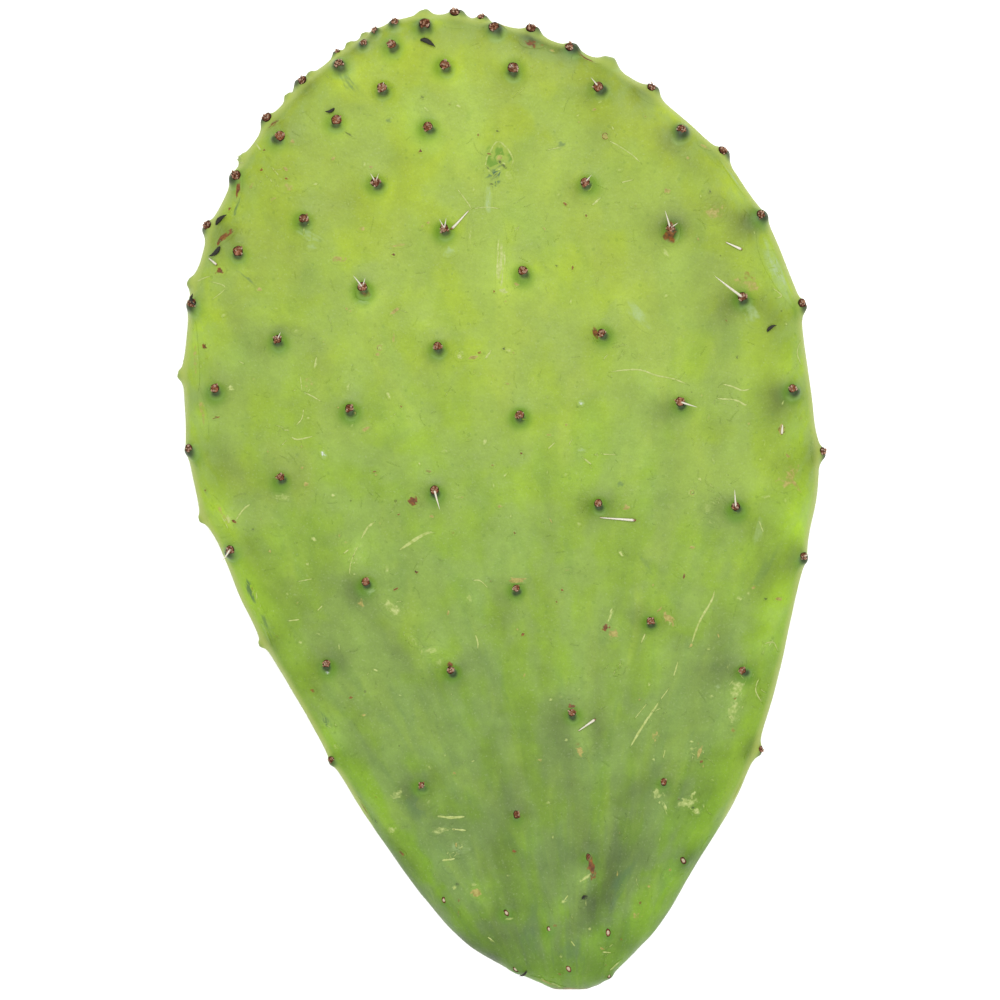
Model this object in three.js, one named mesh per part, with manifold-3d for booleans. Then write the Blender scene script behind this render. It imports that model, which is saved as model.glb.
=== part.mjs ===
// A prickly pear pad: one flattened, egg-shaped stem joint of an Opuntia, lying on its back.
//
// Units are millimetres. +Z points up out of the upper face and +Y points to the growing tip.
// The origin lies under the middle of the pad, on the surface that it rests on.
// The pad grew as one piece, so it is one solid: a body with a rounded rim, and fused to it a
// knob for every areole, in slanting rows on both faces and along the rim, and the spines.

import * as THREE from 'three';
import { mergeVertices } from 'three/addons/utils/BufferGeometryUtils.js';
import Module from 'manifold-3d';

const wasm = await Module();
wasm.setup();

// ---- Outline ----------------------------------------------------------------------------
// Points of the rim, from the base round the right side to the tip and back down the left.
const RIM_POINTS = [
  [28, -149], [33.8, -145.2], [47.5, -131.7], [59.2, -113.4], [75.4, -84.6], [86, -50],
  [93.8, -15], [97.4, 9], [93.6, 46], [87.2, 73], [72, 100], [48, 123.3], [20, 139], [-8, 147],
  [-31.4, 146.6], [-53, 133.4], [-74, 111.2], [-89.6, 79], [-96.8, 39], [-92.8, 1],
  [-85.2, -15.5], [-77, -35], [-59, -66.8], [-43, -94], [-23, -122.2], [-9, -137],
  [12, -147.8], [21, -150.8],
];
const HEART = new THREE.Vector2(2, 9); // the rings of the body are drawn about this point
const COLUMNS_PER_POINT = 3;
const FINE_PER_POINT = 12; // rim points by which distances to the rim are measured
const RING_FRACTIONS = [0.4, 0.7, 0.87, 0.95, 0.985, 1];

// ---- Thickness --------------------------------------------------------------------------
const RIM_HALF_THICKNESS = 8.2; // half the thickness just inside the rounded rim
const THICKER_TO_BASE = 0.008; // growth of that half thickness per millimetre towards the base
const CROWN = 2.8; // how far each face swells beyond the rim's half thickness
const RIM_ROUNDING = 12; // width of the band over which the rim is rounded
const DISH = 1; // how far the rim lifts above the middle of the pad
const WAVE = 0.7; // slow waviness of the whole pad
const WAVE_REACH_X = 38; // the waves' reach across and along the pad, for each radian
const WAVE_REACH_Y = 52;
const WAVE_START_X = 0.6;
const WAVE_START_Y = 0.3;
const FLAT_DEPTH = 0.6; // how much of the belly is flattened where the pad rests
const SCAR_Y = -149.8; // plane of the corky scar where the pad broke off its parent
const ROOM_SIZE = 400; // edge of the cube of free room above the ground, wider than the pad

// ---- Areoles ----------------------------------------------------------------------------
// Upper face, in rows from the tip to the base. Each entry is one areole's place.
const UPPER_ROWS = [
  [[-33, 139], [-23, 145], [-14, 148]],
  [[-49, 133], [-36, 126], [-17, 133], [-2, 144], [9, 143]],
  [[-60, 128], [-50, 116], [-22, 114], [4, 132], [21, 138]],
  [[-71, 117], [-67, 111], [-38, 97], [30, 126], [46, 126]],
  [[-80, 99], [-60, 86], [-17, 83], [26, 97], [55, 113], [68, 107]],
  [[-89, 84], [-80, 76], [-42, 65], [7, 70], [52, 83], [79, 87]],
  [[-93, 60], [-68, 49], [-19, 47], [31, 51], [74, 62], [91, 60]],
  [[-87, 34], [-46, 28], [6, 26], [55, 30], [89, 34]],
  [[-94, 16], [-67, 7], [-20, 3], [30, -1], [72, -2], [98, 15]],
  [[-82, -15], [-41, -25], [5, -27], [46, -37], [74, -52], [92, -17]],
  [[-53, -50], [-15, -52], [22, -65], [50, -86], [79, -76]],
  [[-51, -79], [-24, -87], [5, -96], [27, -109], [56, -110]],
  [[-17, -122], [2, -126], [15, -131], [33, -132]],
  [[5, -143], [21, -143], [33, -145]],
];
// Crowded knobs on the margin between the rows' ends: x, y, and size against a row's knob.
const MARGIN_KNOBS = [
  [32, 134, 1.15], [-6, 147, 0.75], [-24, 149, 0.8], [-32, 145.5, 0.75], [-38, 143, 0.65],
  [-41, 142.5, 0.5], [-41.5, 139.5, 0.65], [-45.5, 139.5, 0.55], [-49.5, 137, 0.6],
  [-58, 131, 0.6], [-64.5, 124, 0.6], [-78, 105, 0.7], [-93, 67, 0.85], [-98, 39, 0.8],
  [-91, -5, 0.7], [-73, -43.5, 0.7],
];
// Lower face: rows by rule, each areole a fixed angle on from the last round the stem.
const LOWER_ROWS = { first: 122, pitch: -23.5, count: 11, stepAngle: 34, reach: 72, steps: 2 };
const LOWER_ROW_BAND = 4; // rim points this near a row's level give the row's two ends
const LOWER_ROW_INSET = 5; // a row ends this far inside the rim
const LOWER_JITTER = 2.5;
const KNOB_PROFILE = [[0, -2.6], [5.2, -0.9], [3.1, 0.6], [2.1, 1.6], [0, 2]]; // radius, height
const KNOB_SIDES = 6;
const KNOB_LEAN = 0.3; // how far a knob leans to the tip, as a slope
const BASE_KNOB_SCALE = 0.62; // knobs at the base are smaller than those at the tip by this
const RANDOM_SEED = 41;

// ---- Spines -----------------------------------------------------------------------------
const SPINE_RADIUS = 0.45;
const SPINE_ROOT = 1.6; // how far a spine's root is sunk in its areole
const SPINE_SEAT = 1.6; // height above the skin at which a spine leaves its areole's cushion
const SPINE_RISE = 0.55; // rise of a spine above its face, as a share of its run
// [areole x, areole y, run along x, run along y]
const UPPER_SPINES = [
  [74, 62, -8.9, 5.8], [52, 83, -1.2, 5.8], [52, 83, 2.8, 2.1], [-16, 82, 5.9, 6.7],
  [-42, 65, -2.1, 3.7], [-42, 65, 1.2, 3.2], [-38, 97, -1.6, 3.4], [-20, 3, 1.8, -6.4],
  [72, -2, -0.6, 5.5], [30, 126, -2.6, 3.4], [26, 97, 2.4, 2.6], [55, 30, 4.4, -2.2],
  [-82, -15, -2.2, -4.4], [-36, 126, 0.9, 3.2], [-17, 83, -3.4, 2.8], [-68, 49, 1.4, 3.4],
];
const LOWER_SPINE_SHARE = 0.3; // share of the lower face's areoles that carry a spine
const LOWER_SPINE_RUN = 5;
const LOWER_SPINE_CLEAR = 7; // a lower areole closer than this to the ground has no spine

const FLESH = { color: 0x93a94f, roughness: 0.45, metalness: 0 };

// ---- Helpers ----------------------------------------------------------------------------

/** A repeatable random number source (0 to 1). */
function seededRandom(seed) {
  let state = seed;
  return () => {
    state = (state + 0x6d2b79f5) | 0;
    let mixed = Math.imul(state ^ (state >>> 15), 1 | state);
    mixed = (mixed + Math.imul(mixed ^ (mixed >>> 7), 61 | mixed)) ^ mixed;
    return ((mixed ^ (mixed >>> 14)) >>> 0) / 4294967296;
  };
}

/** Turns a closed three.js geometry into a manifold solid. */
function toSolid(geometry) {
  const bare = geometry.index ? geometry.toNonIndexed() : geometry.clone();
  bare.deleteAttribute('normal');
  bare.deleteAttribute('uv');
  const merged = mergeVertices(bare, 1e-4);
  const index = merged.index.array;
  const triangles = [];
  for (let i = 0; i < index.length; i += 3) {
    const [a, b, c] = [index[i], index[i + 1], index[i + 2]];
    if (a !== b && b !== c && c !== a) triangles.push(a, b, c);
  }
  const vertProperties = new Float32Array(merged.attributes.position.array);
  const triVerts = new Uint32Array(triangles);
  return new wasm.Manifold(new wasm.Mesh({ numProp: 3, vertProperties, triVerts }));
}

/** Turns a manifold solid back into a three.js geometry. */
function toGeometry(solid) {
  const { vertProperties, triVerts } = solid.getMesh();
  const geometry = new THREE.BufferGeometry();
  geometry.setAttribute('position', new THREE.BufferAttribute(vertProperties, 3));
  geometry.setIndex(new THREE.BufferAttribute(triVerts, 1));
  geometry.computeVertexNormals();
  return geometry;
}

// ---- The pad's surface as a formula -----------------------------------------------------

const rimCurve = new THREE.CatmullRomCurve3(
  RIM_POINTS.map(([x, y]) => new THREE.Vector3(x, y, 0)), true, 'catmullrom', 0.5,
);

/** The rim as a list of evenly counted points, `perPoint` to each point of the outline. */
function rimLine(perPoint) {
  const count = RIM_POINTS.length * perPoint;
  return Array.from({ length: count }, (_, i) => {
    const point = rimCurve.getPoint(i / count);
    return new THREE.Vector2(point.x, point.y);
  });
}

const FINE_RIM = rimLine(FINE_PER_POINT);

/** The rim point nearest to a place, and the distance to it. */
function nearestRim(place) {
  let nearest = FINE_RIM[0];
  for (const point of FINE_RIM) {
    if (point.distanceToSquared(place) < nearest.distanceToSquared(place)) nearest = point;
  }
  return { nearest, distance: nearest.distanceTo(place) };
}

/** How far out a place lies from the heart of the pad: 0 at the heart, 1 on the rim. */
function fractionOut(place) {
  const arm = place.clone().sub(HEART);
  const angle = arm.angle();
  let best = FINE_RIM[0];
  let bestTurn = Infinity;
  for (const point of FINE_RIM) {
    const turn = Math.abs(point.clone().sub(HEART).angle() - angle);
    const wrapped = Math.min(turn, 2 * Math.PI - turn);
    if (wrapped < bestTurn) {
      best = point;
      bestTurn = wrapped;
    }
  }
  return Math.min(arm.length() / best.distanceTo(HEART), 1);
}

/** Angle round the rounded rim: 0 at its outermost line, a right angle on the flat of the face. */
function rimAngle(distance) {
  return Math.acos(1 - Math.min(distance / RIM_ROUNDING, 1));
}

/** Height of the pad's middle sheet above the lowest point of its belly. */
function middleHeight(place, fraction) {
  const across = Math.sin(place.x / WAVE_REACH_X + WAVE_START_X);
  const along = Math.cos(place.y / WAVE_REACH_Y + WAVE_START_Y);
  const wave = WAVE * across * along;
  return RIM_HALF_THICKNESS + CROWN - FLAT_DEPTH + DISH * fraction ** 2 + wave;
}

/** Height of the upper (side 1) or lower (side -1) face at a place. */
function faceHeight(place, fraction, distance, side) {
  const edge = RIM_HALF_THICKNESS - THICKER_TO_BASE * place.y;
  const half = (edge + CROWN * (1 - fraction ** 2)) * Math.sin(rimAngle(distance));
  return middleHeight(place, fraction) + side * half;
}

/** Where an areole sits on a face: its point, and the direction in which it stands up. */
function seatAt(x, y, side) {
  const place = new THREE.Vector2(x, y);
  const { nearest, distance } = nearestRim(place);
  const beyondRim = place.distanceTo(HEART) > nearest.distanceTo(HEART);
  const inset = beyondRim ? 0 : distance;
  const seat = beyondRim ? nearest.clone() : place;
  const outward = nearest.clone().sub(beyondRim ? HEART : place).normalize();
  const angle = rimAngle(inset);
  const flat = Math.cos(angle) / RIM_ROUNDING;
  const steep = Math.sin(angle) / RIM_HALF_THICKNESS;
  const normal = new THREE.Vector3(outward.x * flat, outward.y * flat, side * steep).normalize();
  const height = faceHeight(seat, fractionOut(seat), inset, side);
  return { point: new THREE.Vector3(seat.x, seat.y, height), normal };
}

// ---- Body -------------------------------------------------------------------------------

/** The pad's bare body: rings of points on both faces that meet along the rim. */
function bodySolid() {
  const rim = rimLine(COLUMNS_PER_POINT);
  const columns = rim.length;
  const positions = [];
  const triangles = [];
  const addPoint = (place, fraction, distance, side) => {
    positions.push(place.x, place.y, faceHeight(place, fraction, distance, side));
    return positions.length / 3 - 1;
  };
  const rimRow = rim.map((point) => addPoint(point, 1, 0, 1));
  for (const side of [1, -1]) {
    const rows = RING_FRACTIONS.slice(0, -1).map((fraction) => rim.map((point) => {
      const place = HEART.clone().lerp(point, fraction);
      return addPoint(place, fraction, nearestRim(place).distance, side);
    }));
    rows.push(rimRow);
    const middle = addPoint(HEART, 0, nearestRim(HEART).distance, side);
    const addTriangle = (a, b, c) => triangles.push(...(side > 0 ? [a, b, c] : [a, c, b]));
    for (let i = 0; i < columns; i += 1) {
      const j = (i + 1) % columns;
      addTriangle(middle, rows[0][i], rows[0][j]);
      for (let k = 0; k + 1 < rows.length; k += 1) {
        addTriangle(rows[k][i], rows[k + 1][i], rows[k + 1][j]);
        addTriangle(rows[k][i], rows[k + 1][j], rows[k][j]);
      }
    }
  }
  const geometry = new THREE.BufferGeometry();
  geometry.setAttribute('position', new THREE.Float32BufferAttribute(positions, 3));
  geometry.setIndex(triangles);
  return toSolid(geometry);
}

// ---- Areole knobs and spines ------------------------------------------------------------

/** Size of a knob by its place: smaller towards the base. */
function knobScale(y) {
  return THREE.MathUtils.mapLinear(y, SCAR_Y, -SCAR_Y, BASE_KNOB_SCALE, 1);
}

/** One areole: a tubercle with its felt cushion, leaning towards the tip. */
function knobSolid(seat, scale) {
  const profile = KNOB_PROFILE.map(([radius, height]) => new THREE.Vector2(radius, height));
  const geometry = new THREE.LatheGeometry(profile, KNOB_SIDES);
  geometry.scale(scale, scale, scale);
  const upright = seat.normal.clone();
  upright.y += KNOB_LEAN * Math.abs(seat.normal.z);
  const turn = new THREE.Quaternion();
  turn.setFromUnitVectors(new THREE.Vector3(0, 1, 0), upright.normalize());
  geometry.applyQuaternion(turn);
  geometry.translate(seat.point.x, seat.point.y, seat.point.z);
  return toSolid(geometry);
}

/** One three-sided spine that grows from a seat along a direction. */
function spineSolid(seat, direction, length) {
  const geometry = new THREE.ConeGeometry(SPINE_RADIUS, length + SPINE_ROOT, 3);
  geometry.translate(0, (length - SPINE_ROOT) / 2, 0);
  const turn = new THREE.Quaternion();
  turn.setFromUnitVectors(new THREE.Vector3(0, 1, 0), direction.clone().normalize());
  geometry.applyQuaternion(turn);
  geometry.translate(seat.point.x, seat.point.y, seat.point.z);
  return toSolid(geometry);
}

/** The lower face's areoles: slanting rows across the pad, with a little seeded irregularity. */
function lowerPlaces(random) {
  const places = [];
  for (let row = 0; row < LOWER_ROWS.count; row += 1) {
    const y = LOWER_ROWS.first + LOWER_ROWS.pitch * row;
    const ends = FINE_RIM.filter((point) => Math.abs(point.y - y) < LOWER_ROW_BAND);
    const left = Math.min(...ends.map((point) => point.x)) + LOWER_ROW_INSET;
    const right = Math.max(...ends.map((point) => point.x)) - LOWER_ROW_INSET;
    const lastStep = LOWER_ROWS.steps + (row % 2) / 2;
    for (let step = -lastStep; step <= lastStep; step += 1) {
      const angle = step * LOWER_ROWS.stepAngle;
      const nudgeX = (random() - 0.5) * 2 * LOWER_JITTER;
      const nudgeY = (random() - 0.5) * 2 * LOWER_JITTER;
      if (Math.abs(angle) <= LOWER_ROWS.reach) {
        const swing = Math.sin(THREE.MathUtils.degToRad(angle));
        const x = (left + right) / 2 + swing * (right - left) / 2;
        places.push([x + nudgeX, y + nudgeY]);
      }
    }
  }
  return places;
}

/** All the knobs and spines of the lower face. */
function lowerGrowth() {
  const random = seededRandom(RANDOM_SEED);
  const solids = [];
  for (const [x, y] of lowerPlaces(random)) {
    const seat = seatAt(x, y, -1);
    solids.push(knobSolid(seat, knobScale(y)));
    const carriesSpine = random() < LOWER_SPINE_SHARE;
    const heading = random() * 2 * Math.PI;
    if (carriesSpine && seat.point.z > LOWER_SPINE_CLEAR) {
      const run = new THREE.Vector3(Math.cos(heading), Math.sin(heading), -SPINE_RISE);
      solids.push(spineSolid(seat, run, LOWER_SPINE_RUN));
    }
  }
  return solids;
}

/** All the knobs and spines of the upper face and the margin. */
function upperGrowth() {
  const knobs = UPPER_ROWS.flat().map(([x, y]) => knobSolid(seatAt(x, y, 1), knobScale(y)));
  const margin = MARGIN_KNOBS.map(([x, y, size]) => (
    knobSolid(seatAt(x, y, 1), size * knobScale(y))
  ));
  const spines = UPPER_SPINES.map(([x, y, runX, runY]) => {
    const rise = SPINE_RISE * Math.hypot(runX, runY);
    const run = new THREE.Vector3(runX, runY, rise);
    const seat = seatAt(x, y, 1);
    seat.point.addScaledVector(seat.normal, SPINE_SEAT);
    return spineSolid(seat, run, run.length());
  });
  return [...knobs, ...margin, ...spines];
}

/** The room that the pad may fill: above the ground and on the tip's side of the scar. */
function roomSolid() {
  const geometry = new THREE.BoxGeometry(ROOM_SIZE, ROOM_SIZE, ROOM_SIZE);
  geometry.translate(0, SCAR_Y + ROOM_SIZE / 2, ROOM_SIZE / 2);
  return toSolid(geometry);
}

const whole = wasm.Manifold.union([bodySolid(), ...upperGrowth(), ...lowerGrowth()]);
const padGeometry = toGeometry(whole.intersect(roomSolid()));

const pad = new THREE.Mesh(padGeometry, new THREE.MeshStandardMaterial(FLESH));
pad.name = 'pad';

const cactusPad = new THREE.Group();
cactusPad.add(pad);

export default cactusPad;
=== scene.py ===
"""Looks of a prickly pear pad that lies on its back: skin, areoles, glochids, spines and scars.

The pad's surface is a formula in millimetres, the same one that its solid follows. Every piece
is laid on that surface, and its mesh is turned into metres when it is made.
"""
import math

import bpy
import numpy as np
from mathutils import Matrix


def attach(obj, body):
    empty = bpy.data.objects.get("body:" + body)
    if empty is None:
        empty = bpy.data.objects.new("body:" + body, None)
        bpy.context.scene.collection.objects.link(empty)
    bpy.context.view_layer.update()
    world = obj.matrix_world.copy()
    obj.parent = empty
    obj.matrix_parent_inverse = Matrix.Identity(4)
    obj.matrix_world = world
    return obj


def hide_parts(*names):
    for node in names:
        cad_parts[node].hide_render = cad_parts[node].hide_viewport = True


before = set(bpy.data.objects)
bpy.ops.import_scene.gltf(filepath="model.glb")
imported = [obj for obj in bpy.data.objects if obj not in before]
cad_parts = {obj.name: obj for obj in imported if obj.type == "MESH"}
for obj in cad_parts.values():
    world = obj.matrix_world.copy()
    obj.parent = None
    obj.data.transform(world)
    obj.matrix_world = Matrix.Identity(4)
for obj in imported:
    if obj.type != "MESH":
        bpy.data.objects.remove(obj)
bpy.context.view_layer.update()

MM = 0.001
BODY = "root"
NODE = "pad"

# ---- Shape of the pad (millimetres) -----------------------------------------------------
# The rim, from the base round the right side to the tip and back down the left.
RIM_POINTS = [
    (28, -149), (33.8, -145.2), (47.5, -131.7), (59.2, -113.4), (75.4, -84.6), (86, -50),
    (93.8, -15), (97.4, 9), (93.6, 46), (87.2, 73), (72, 100), (48, 123.3), (20, 139), (-8, 147),
    (-31.4, 146.6), (-53, 133.4), (-74, 111.2), (-89.6, 79), (-96.8, 39), (-92.8, 1),
    (-85.2, -15.5), (-77, -35), (-59, -66.8), (-43, -94), (-23, -122.2), (-9, -137),
    (12, -147.8), (21, -150.8),
]
HEART = np.array([2.0, 9.0])  # the rings of the skin are drawn about this place
RIM_HALF_THICKNESS = 8.2  # half the thickness just inside the rounded rim
THICKER_TO_BASE = 0.008  # growth of that half thickness per millimetre towards the base
CROWN = 2.8  # how far each face swells beyond the rim's half thickness
RIM_ROUNDING = 12.0  # width of the band over which the rim is rounded
DISH = 1.0  # how far the rim lifts above the middle of the pad
WAVE = 0.7  # slow waviness of the whole pad
WAVE_REACH = np.array([38, 52])  # the waves' reach across and along the pad, for each radian
WAVE_START = np.array([0.6, 0.3])
FLAT_DEPTH = 0.6  # how much of the belly is flattened where the pad rests
SCAR_Y = -149.8  # plane of the corky scar where the pad broke off its parent

# ---- Areoles (millimetres, degrees) -----------------------------------------------------
UPPER_ROWS = [
    [(-33, 139), (-23, 145), (-14, 148)],
    [(-49, 133), (-36, 126), (-17, 133), (-2, 144), (9, 143)],
    [(-60, 128), (-50, 116), (-22, 114), (4, 132), (21, 138)],
    [(-71, 117), (-67, 111), (-38, 97), (30, 126), (46, 126)],
    [(-80, 99), (-60, 86), (-17, 83), (26, 97), (55, 113), (68, 107)],
    [(-89, 84), (-80, 76), (-42, 65), (7, 70), (52, 83), (79, 87)],
    [(-93, 60), (-68, 49), (-19, 47), (31, 51), (74, 62), (91, 60)],
    [(-87, 34), (-46, 28), (6, 26), (55, 30), (89, 34)],
    [(-94, 16), (-67, 7), (-20, 3), (30, -1), (72, -2), (98, 15)],
    [(-82, -15), (-41, -25), (5, -27), (46, -37), (74, -52), (92, -17)],
    [(-53, -50), (-15, -52), (22, -65), (50, -86), (79, -76)],
    [(-51, -79), (-24, -87), (5, -96), (27, -109), (56, -110)],
    [(-17, -122), (2, -126), (15, -131), (33, -132)],
    [(5, -143), (21, -143), (33, -145)],
]
MARGIN_KNOBS = [  # x, y, size against a row's knob, whether it is a bare hump
    (32, 134, 1.15, True), (-6, 147, 0.75, False), (-24, 149, 0.8, True),
    (-32, 145.5, 0.75, False), (-38, 143, 0.65, False), (-41, 142.5, 0.5, True),
    (-41.5, 139.5, 0.65, False), (-45.5, 139.5, 0.55, True), (-49.5, 137, 0.6, False),
    (-58, 131, 0.6, True), (-64.5, 124, 0.6, True), (-78, 105, 0.7, True), (-93, 67, 0.85, True),
    (-98, 39, 0.8, True), (-91, -5, 0.7, True), (-73, -43.5, 0.7, True),
]
# Lower face: rows by rule, each areole a fixed angle on from the last round the stem.
LOWER_FIRST_ROW = 122.0
LOWER_ROW_PITCH = -23.5
LOWER_ROW_COUNT = 11
LOWER_STEP_ANGLE = 34.0
LOWER_REACH = 72.0
LOWER_STEPS = 2
LOWER_ROW_BAND = 4.0  # rim points this near a row's level give the row's two ends
LOWER_ROW_INSET = 5.0  # a row ends this far inside the rim
LOWER_JITTER = 2.5
LOWER_SPINE_SHARE = 0.3  # share of the lower face's areoles that carry a spine
LOWER_SPINE_RUN = 5.0
LOWER_SPINE_CLEAR = 7.0  # a lower areole closer than this to the ground has no spine
LOWER_SEED = 41
OLD_FROM = 62.0  # areoles this far below the middle of the pad begin to look old
OLD_BY = 116.0  # and those this far below it are as old as any
OLD_SPREAD = 8.0  # how far those places vary from areole to areole
BASE_KNOB_SCALE = 0.62  # size of a knob at the base against one at the tip
KNOB_HEIGHT = 1.9
KNOB_RADIUS = 2.7
KNOB_REACH = 7.2  # a knob fades out before this distance from its areole
KNOB_FADE = (0.75, 0.97)  # shares of that reach between which it fades
KNOB_LEAN = 0.2  # how far a knob leans to the tip, as a slope
KNOB_SHRINKING = 0.6  # share of its height that the oldest knob has lost
LEAN_BACK = 0.4  # how far a knob's foot lies towards the base from its areole
CHIN_SHIFT = 0.75  # how far its foot lies towards its chin, the swelling on its shaded side
CHIN_PLACE = 1.2  # distance of the chin from the foot
CHIN_WIDTH = 1.5
CHIN_HEIGHT = 0.45
CHIN_HEADING = -68  # degrees from +X
LEFT_TIP = (-55, 90)  # areoles left of and beyond this place have their own heading
LEFT_TIP_CHIN_HEADING = -120
CHIN_SWING = 22  # how far a heading varies either way
RIM_INSET = 4.5  # an areole nearer to the rim than this counts as one on the rim
FELT_HALF_WIDTH = 1.56
FELT_HALF_LENGTH = 1.62
FELT_HEIGHT = 0.75
FELT_NARROWING = 0.3  # share of its width that the oldest felt has lost
FELT_LENGTHENING = 0.1  # share of its length that it has gained
FELT_FLATTENING = 0.45  # share of its height that it has lost
FELT_LEAN = 0.25  # how far a felt leans from its areole's facing towards its upper end
FELT_LUMP_HEIGHT = 0.16
FELT_LUMP_SIZE = 0.5
FELT_DEPTH = 0.1  # how far a felt is sunk in its knob
FELT_ROOT = 6.4  # how far its lowest point lies below the rest
TUFTS = (3, 12)  # the fewest glochid tufts on a felt, and how many more a young one has
LAST_TUFT_AGE = 0.8
TUFT_HAIRS = (-0.07, 0.0, 0.07)  # places of a tuft's hairs, side by side
GLOCHID_LENGTH = (0.75, 1.35)
GLOCHID_RADII = (0.15, 0.13, 0.05)  # at the root, part of the way up and at the tip
# In a pair, the first value is for areoles on the two faces and the second for the rim's.
TILT = (0.7, 1.12)  # how far a felt turns up, or down on the lower face, from the skin's normal
FELT_SHIFT = (1.4, 2.2)  # how far it moves along the knob for that
FELT_SIZE_UP = (1.0, 0.7)  # share of its height
FELT_BRIGHT = (1.0, 0.2)  # the most that its colour may brighten
HAIR_SIZE = (1.0, 0.7)  # share of a glochid's length
SLATE_EDGE = (2.3, 2.9)  # reach of the dark grey-green colour and painted shade round the knob
SLATE_SOFTNESS = (1.2, 1.7)
SLATE_BEHIND = (0.35, 1.0)  # strength of that shade on the side away from the chin
OLD_SLATE = 0.2  # strength of that shade round the oldest areoles
BARE_SLATE = 0.35  # and round bare humps

# ---- Relief and masks of the skin (millimetres) -----------------------------------------
SWELL_HEIGHT = 1.0  # a broad mound lies under every areole
SWELL_REACH = 5.0
SWELL_Y = (60, 120)
SWELL_BY_Y = (1, 0.35)
FAN_ORIGIN = np.array([24.0, -185.0])  # the skin's streaks and ribs fan out from here
FAN_SCALE = (100, 0.22, 0.5)  # growth coordinates for a radian, and for a millimetre out and up
FOLDS = [  # x, y, length, width, heading, height
    (40, -113, 26, 9, 62, -1.0), (28, -117, 20, 8, 60, 0.7), (12, -128, 26, 8, 84, -0.5),
    (-14, -100, 30, 10, -58, -0.4), (52, -70, 34, 12, 66, 0.4), (60, 10, 40, 14, 78, -0.4),
    (-60, 30, 44, 16, 80, 0.4), (-40, -30, 40, 14, -62, -0.4), (20, 60, 44, 16, 92, 0.4),
]
RIPPLES = [(0.34, 19, 1), (0.12, 6, 2)]  # height, size and seed
RIB_HEIGHT = 0.16
RIB_WIDTH = 3.8  # in growth coordinates
HALO_REACH = 4.8  # painted shade: darker green lies round every areole
HALO_Y = (-120, -60, 50, 110)
HALO_BY_Y = (1.1, 1.2, 1.15, 0.75)
MARGIN_LIGHT_Y = (-150, -130, -30, 10, 95, 125)
MARGIN_LIGHT = (0.0, 0.14, 0.14, 0.08, 0.05, -0.02)  # light gained along the margin
RIM_KNOB_SHADE = 0.35  # light lost round the knobs on the rim
RIM_KNOB_REACH = 3.2
DARK_BASE_Y = (92, 110)  # the painted light along the rim fades out this far below the middle
DARK_BASE_INSET = 3.0

# ---- Spines, leaves and marks on the upper face (millimetres, degrees) ------------------
SPINE_RADIUS = 0.42
SPINE_RISE = 0.47  # rise of a spine above its face, as a share of its run
SPINE_ROOT = 0.6  # how far a spine starts inside its felt
SPINE_TAPER = np.array([1.0, 1.0, 0.92, 0.78, 0.56, 0.3, 0.03])  # from the root to the tip
SPINE_BOW = 0.04
FALLEN_SPINE_RADIUS = 0.46
LEAF_PROFILE = np.array([0.35, 0.85, 1.0, 0.8, 0.45, 0.08])  # from the foot to the tip
LEAF_RADIUS = 0.17  # share of a leaf's length
UPPER_SPINES = [  # areole x, areole y, run along x, run along y
    (74, 62, -9.0, 6.2), (52, 83, -1.5, 5.6), (52, 83, 2.4, 1.8), (-42, 65, -2.8, 3.8),
    (-42, 65, 0.8, 3.0), (-38, 97, -1.6, 3.0), (-38, 97, 0.9, 2.8), (-20, 3, 1.4, -6.2),
    (72, -2, -0.6, 5.4), (30, 126, -2.4, 3.2), (26, 97, 1.9, 2.4), (55, 30, 5.2, -1.9),
    (-82, -15, -2.2, -3.8), (-36, 126, 0.6, 1.8), (-17, 83, -1.7, 2.8), (-17, 83, 0.7, 3.2),
    (-68, 49, 1.0, 2.4), (4, 132, -0.8, 1.4), (92, -17, 2.0, 0.8),
]
FALLEN_SPINES = [  # brown end x, y, pale end x, y
    (41.5, -6.2, 30.5, -5.4), (74, 76.5, 69, 78.8), (-15, 82.4, -9.6, 88.4), (29.2, -66.9, 24, -70.5),
    (-86.3, 71.8, -88.6, 73.8), (86.1, 20, 86.3, 23),
]
LEAF_REMAINS = [  # x, y, heading in degrees, length
    (-22, 139.4, -24, 5.0), (-52, 119.2, 200, 3.2), (-84.6, 85.5, 45, 4.4), (-86.8, 75.8, 225, 4.4),
    (83, 52.4, 35, 3.4), (-92, 61, 100, 3.6), (26, -121.4, 20, 2.0), (7.5, -143.8, 200, 2.2),
]
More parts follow.
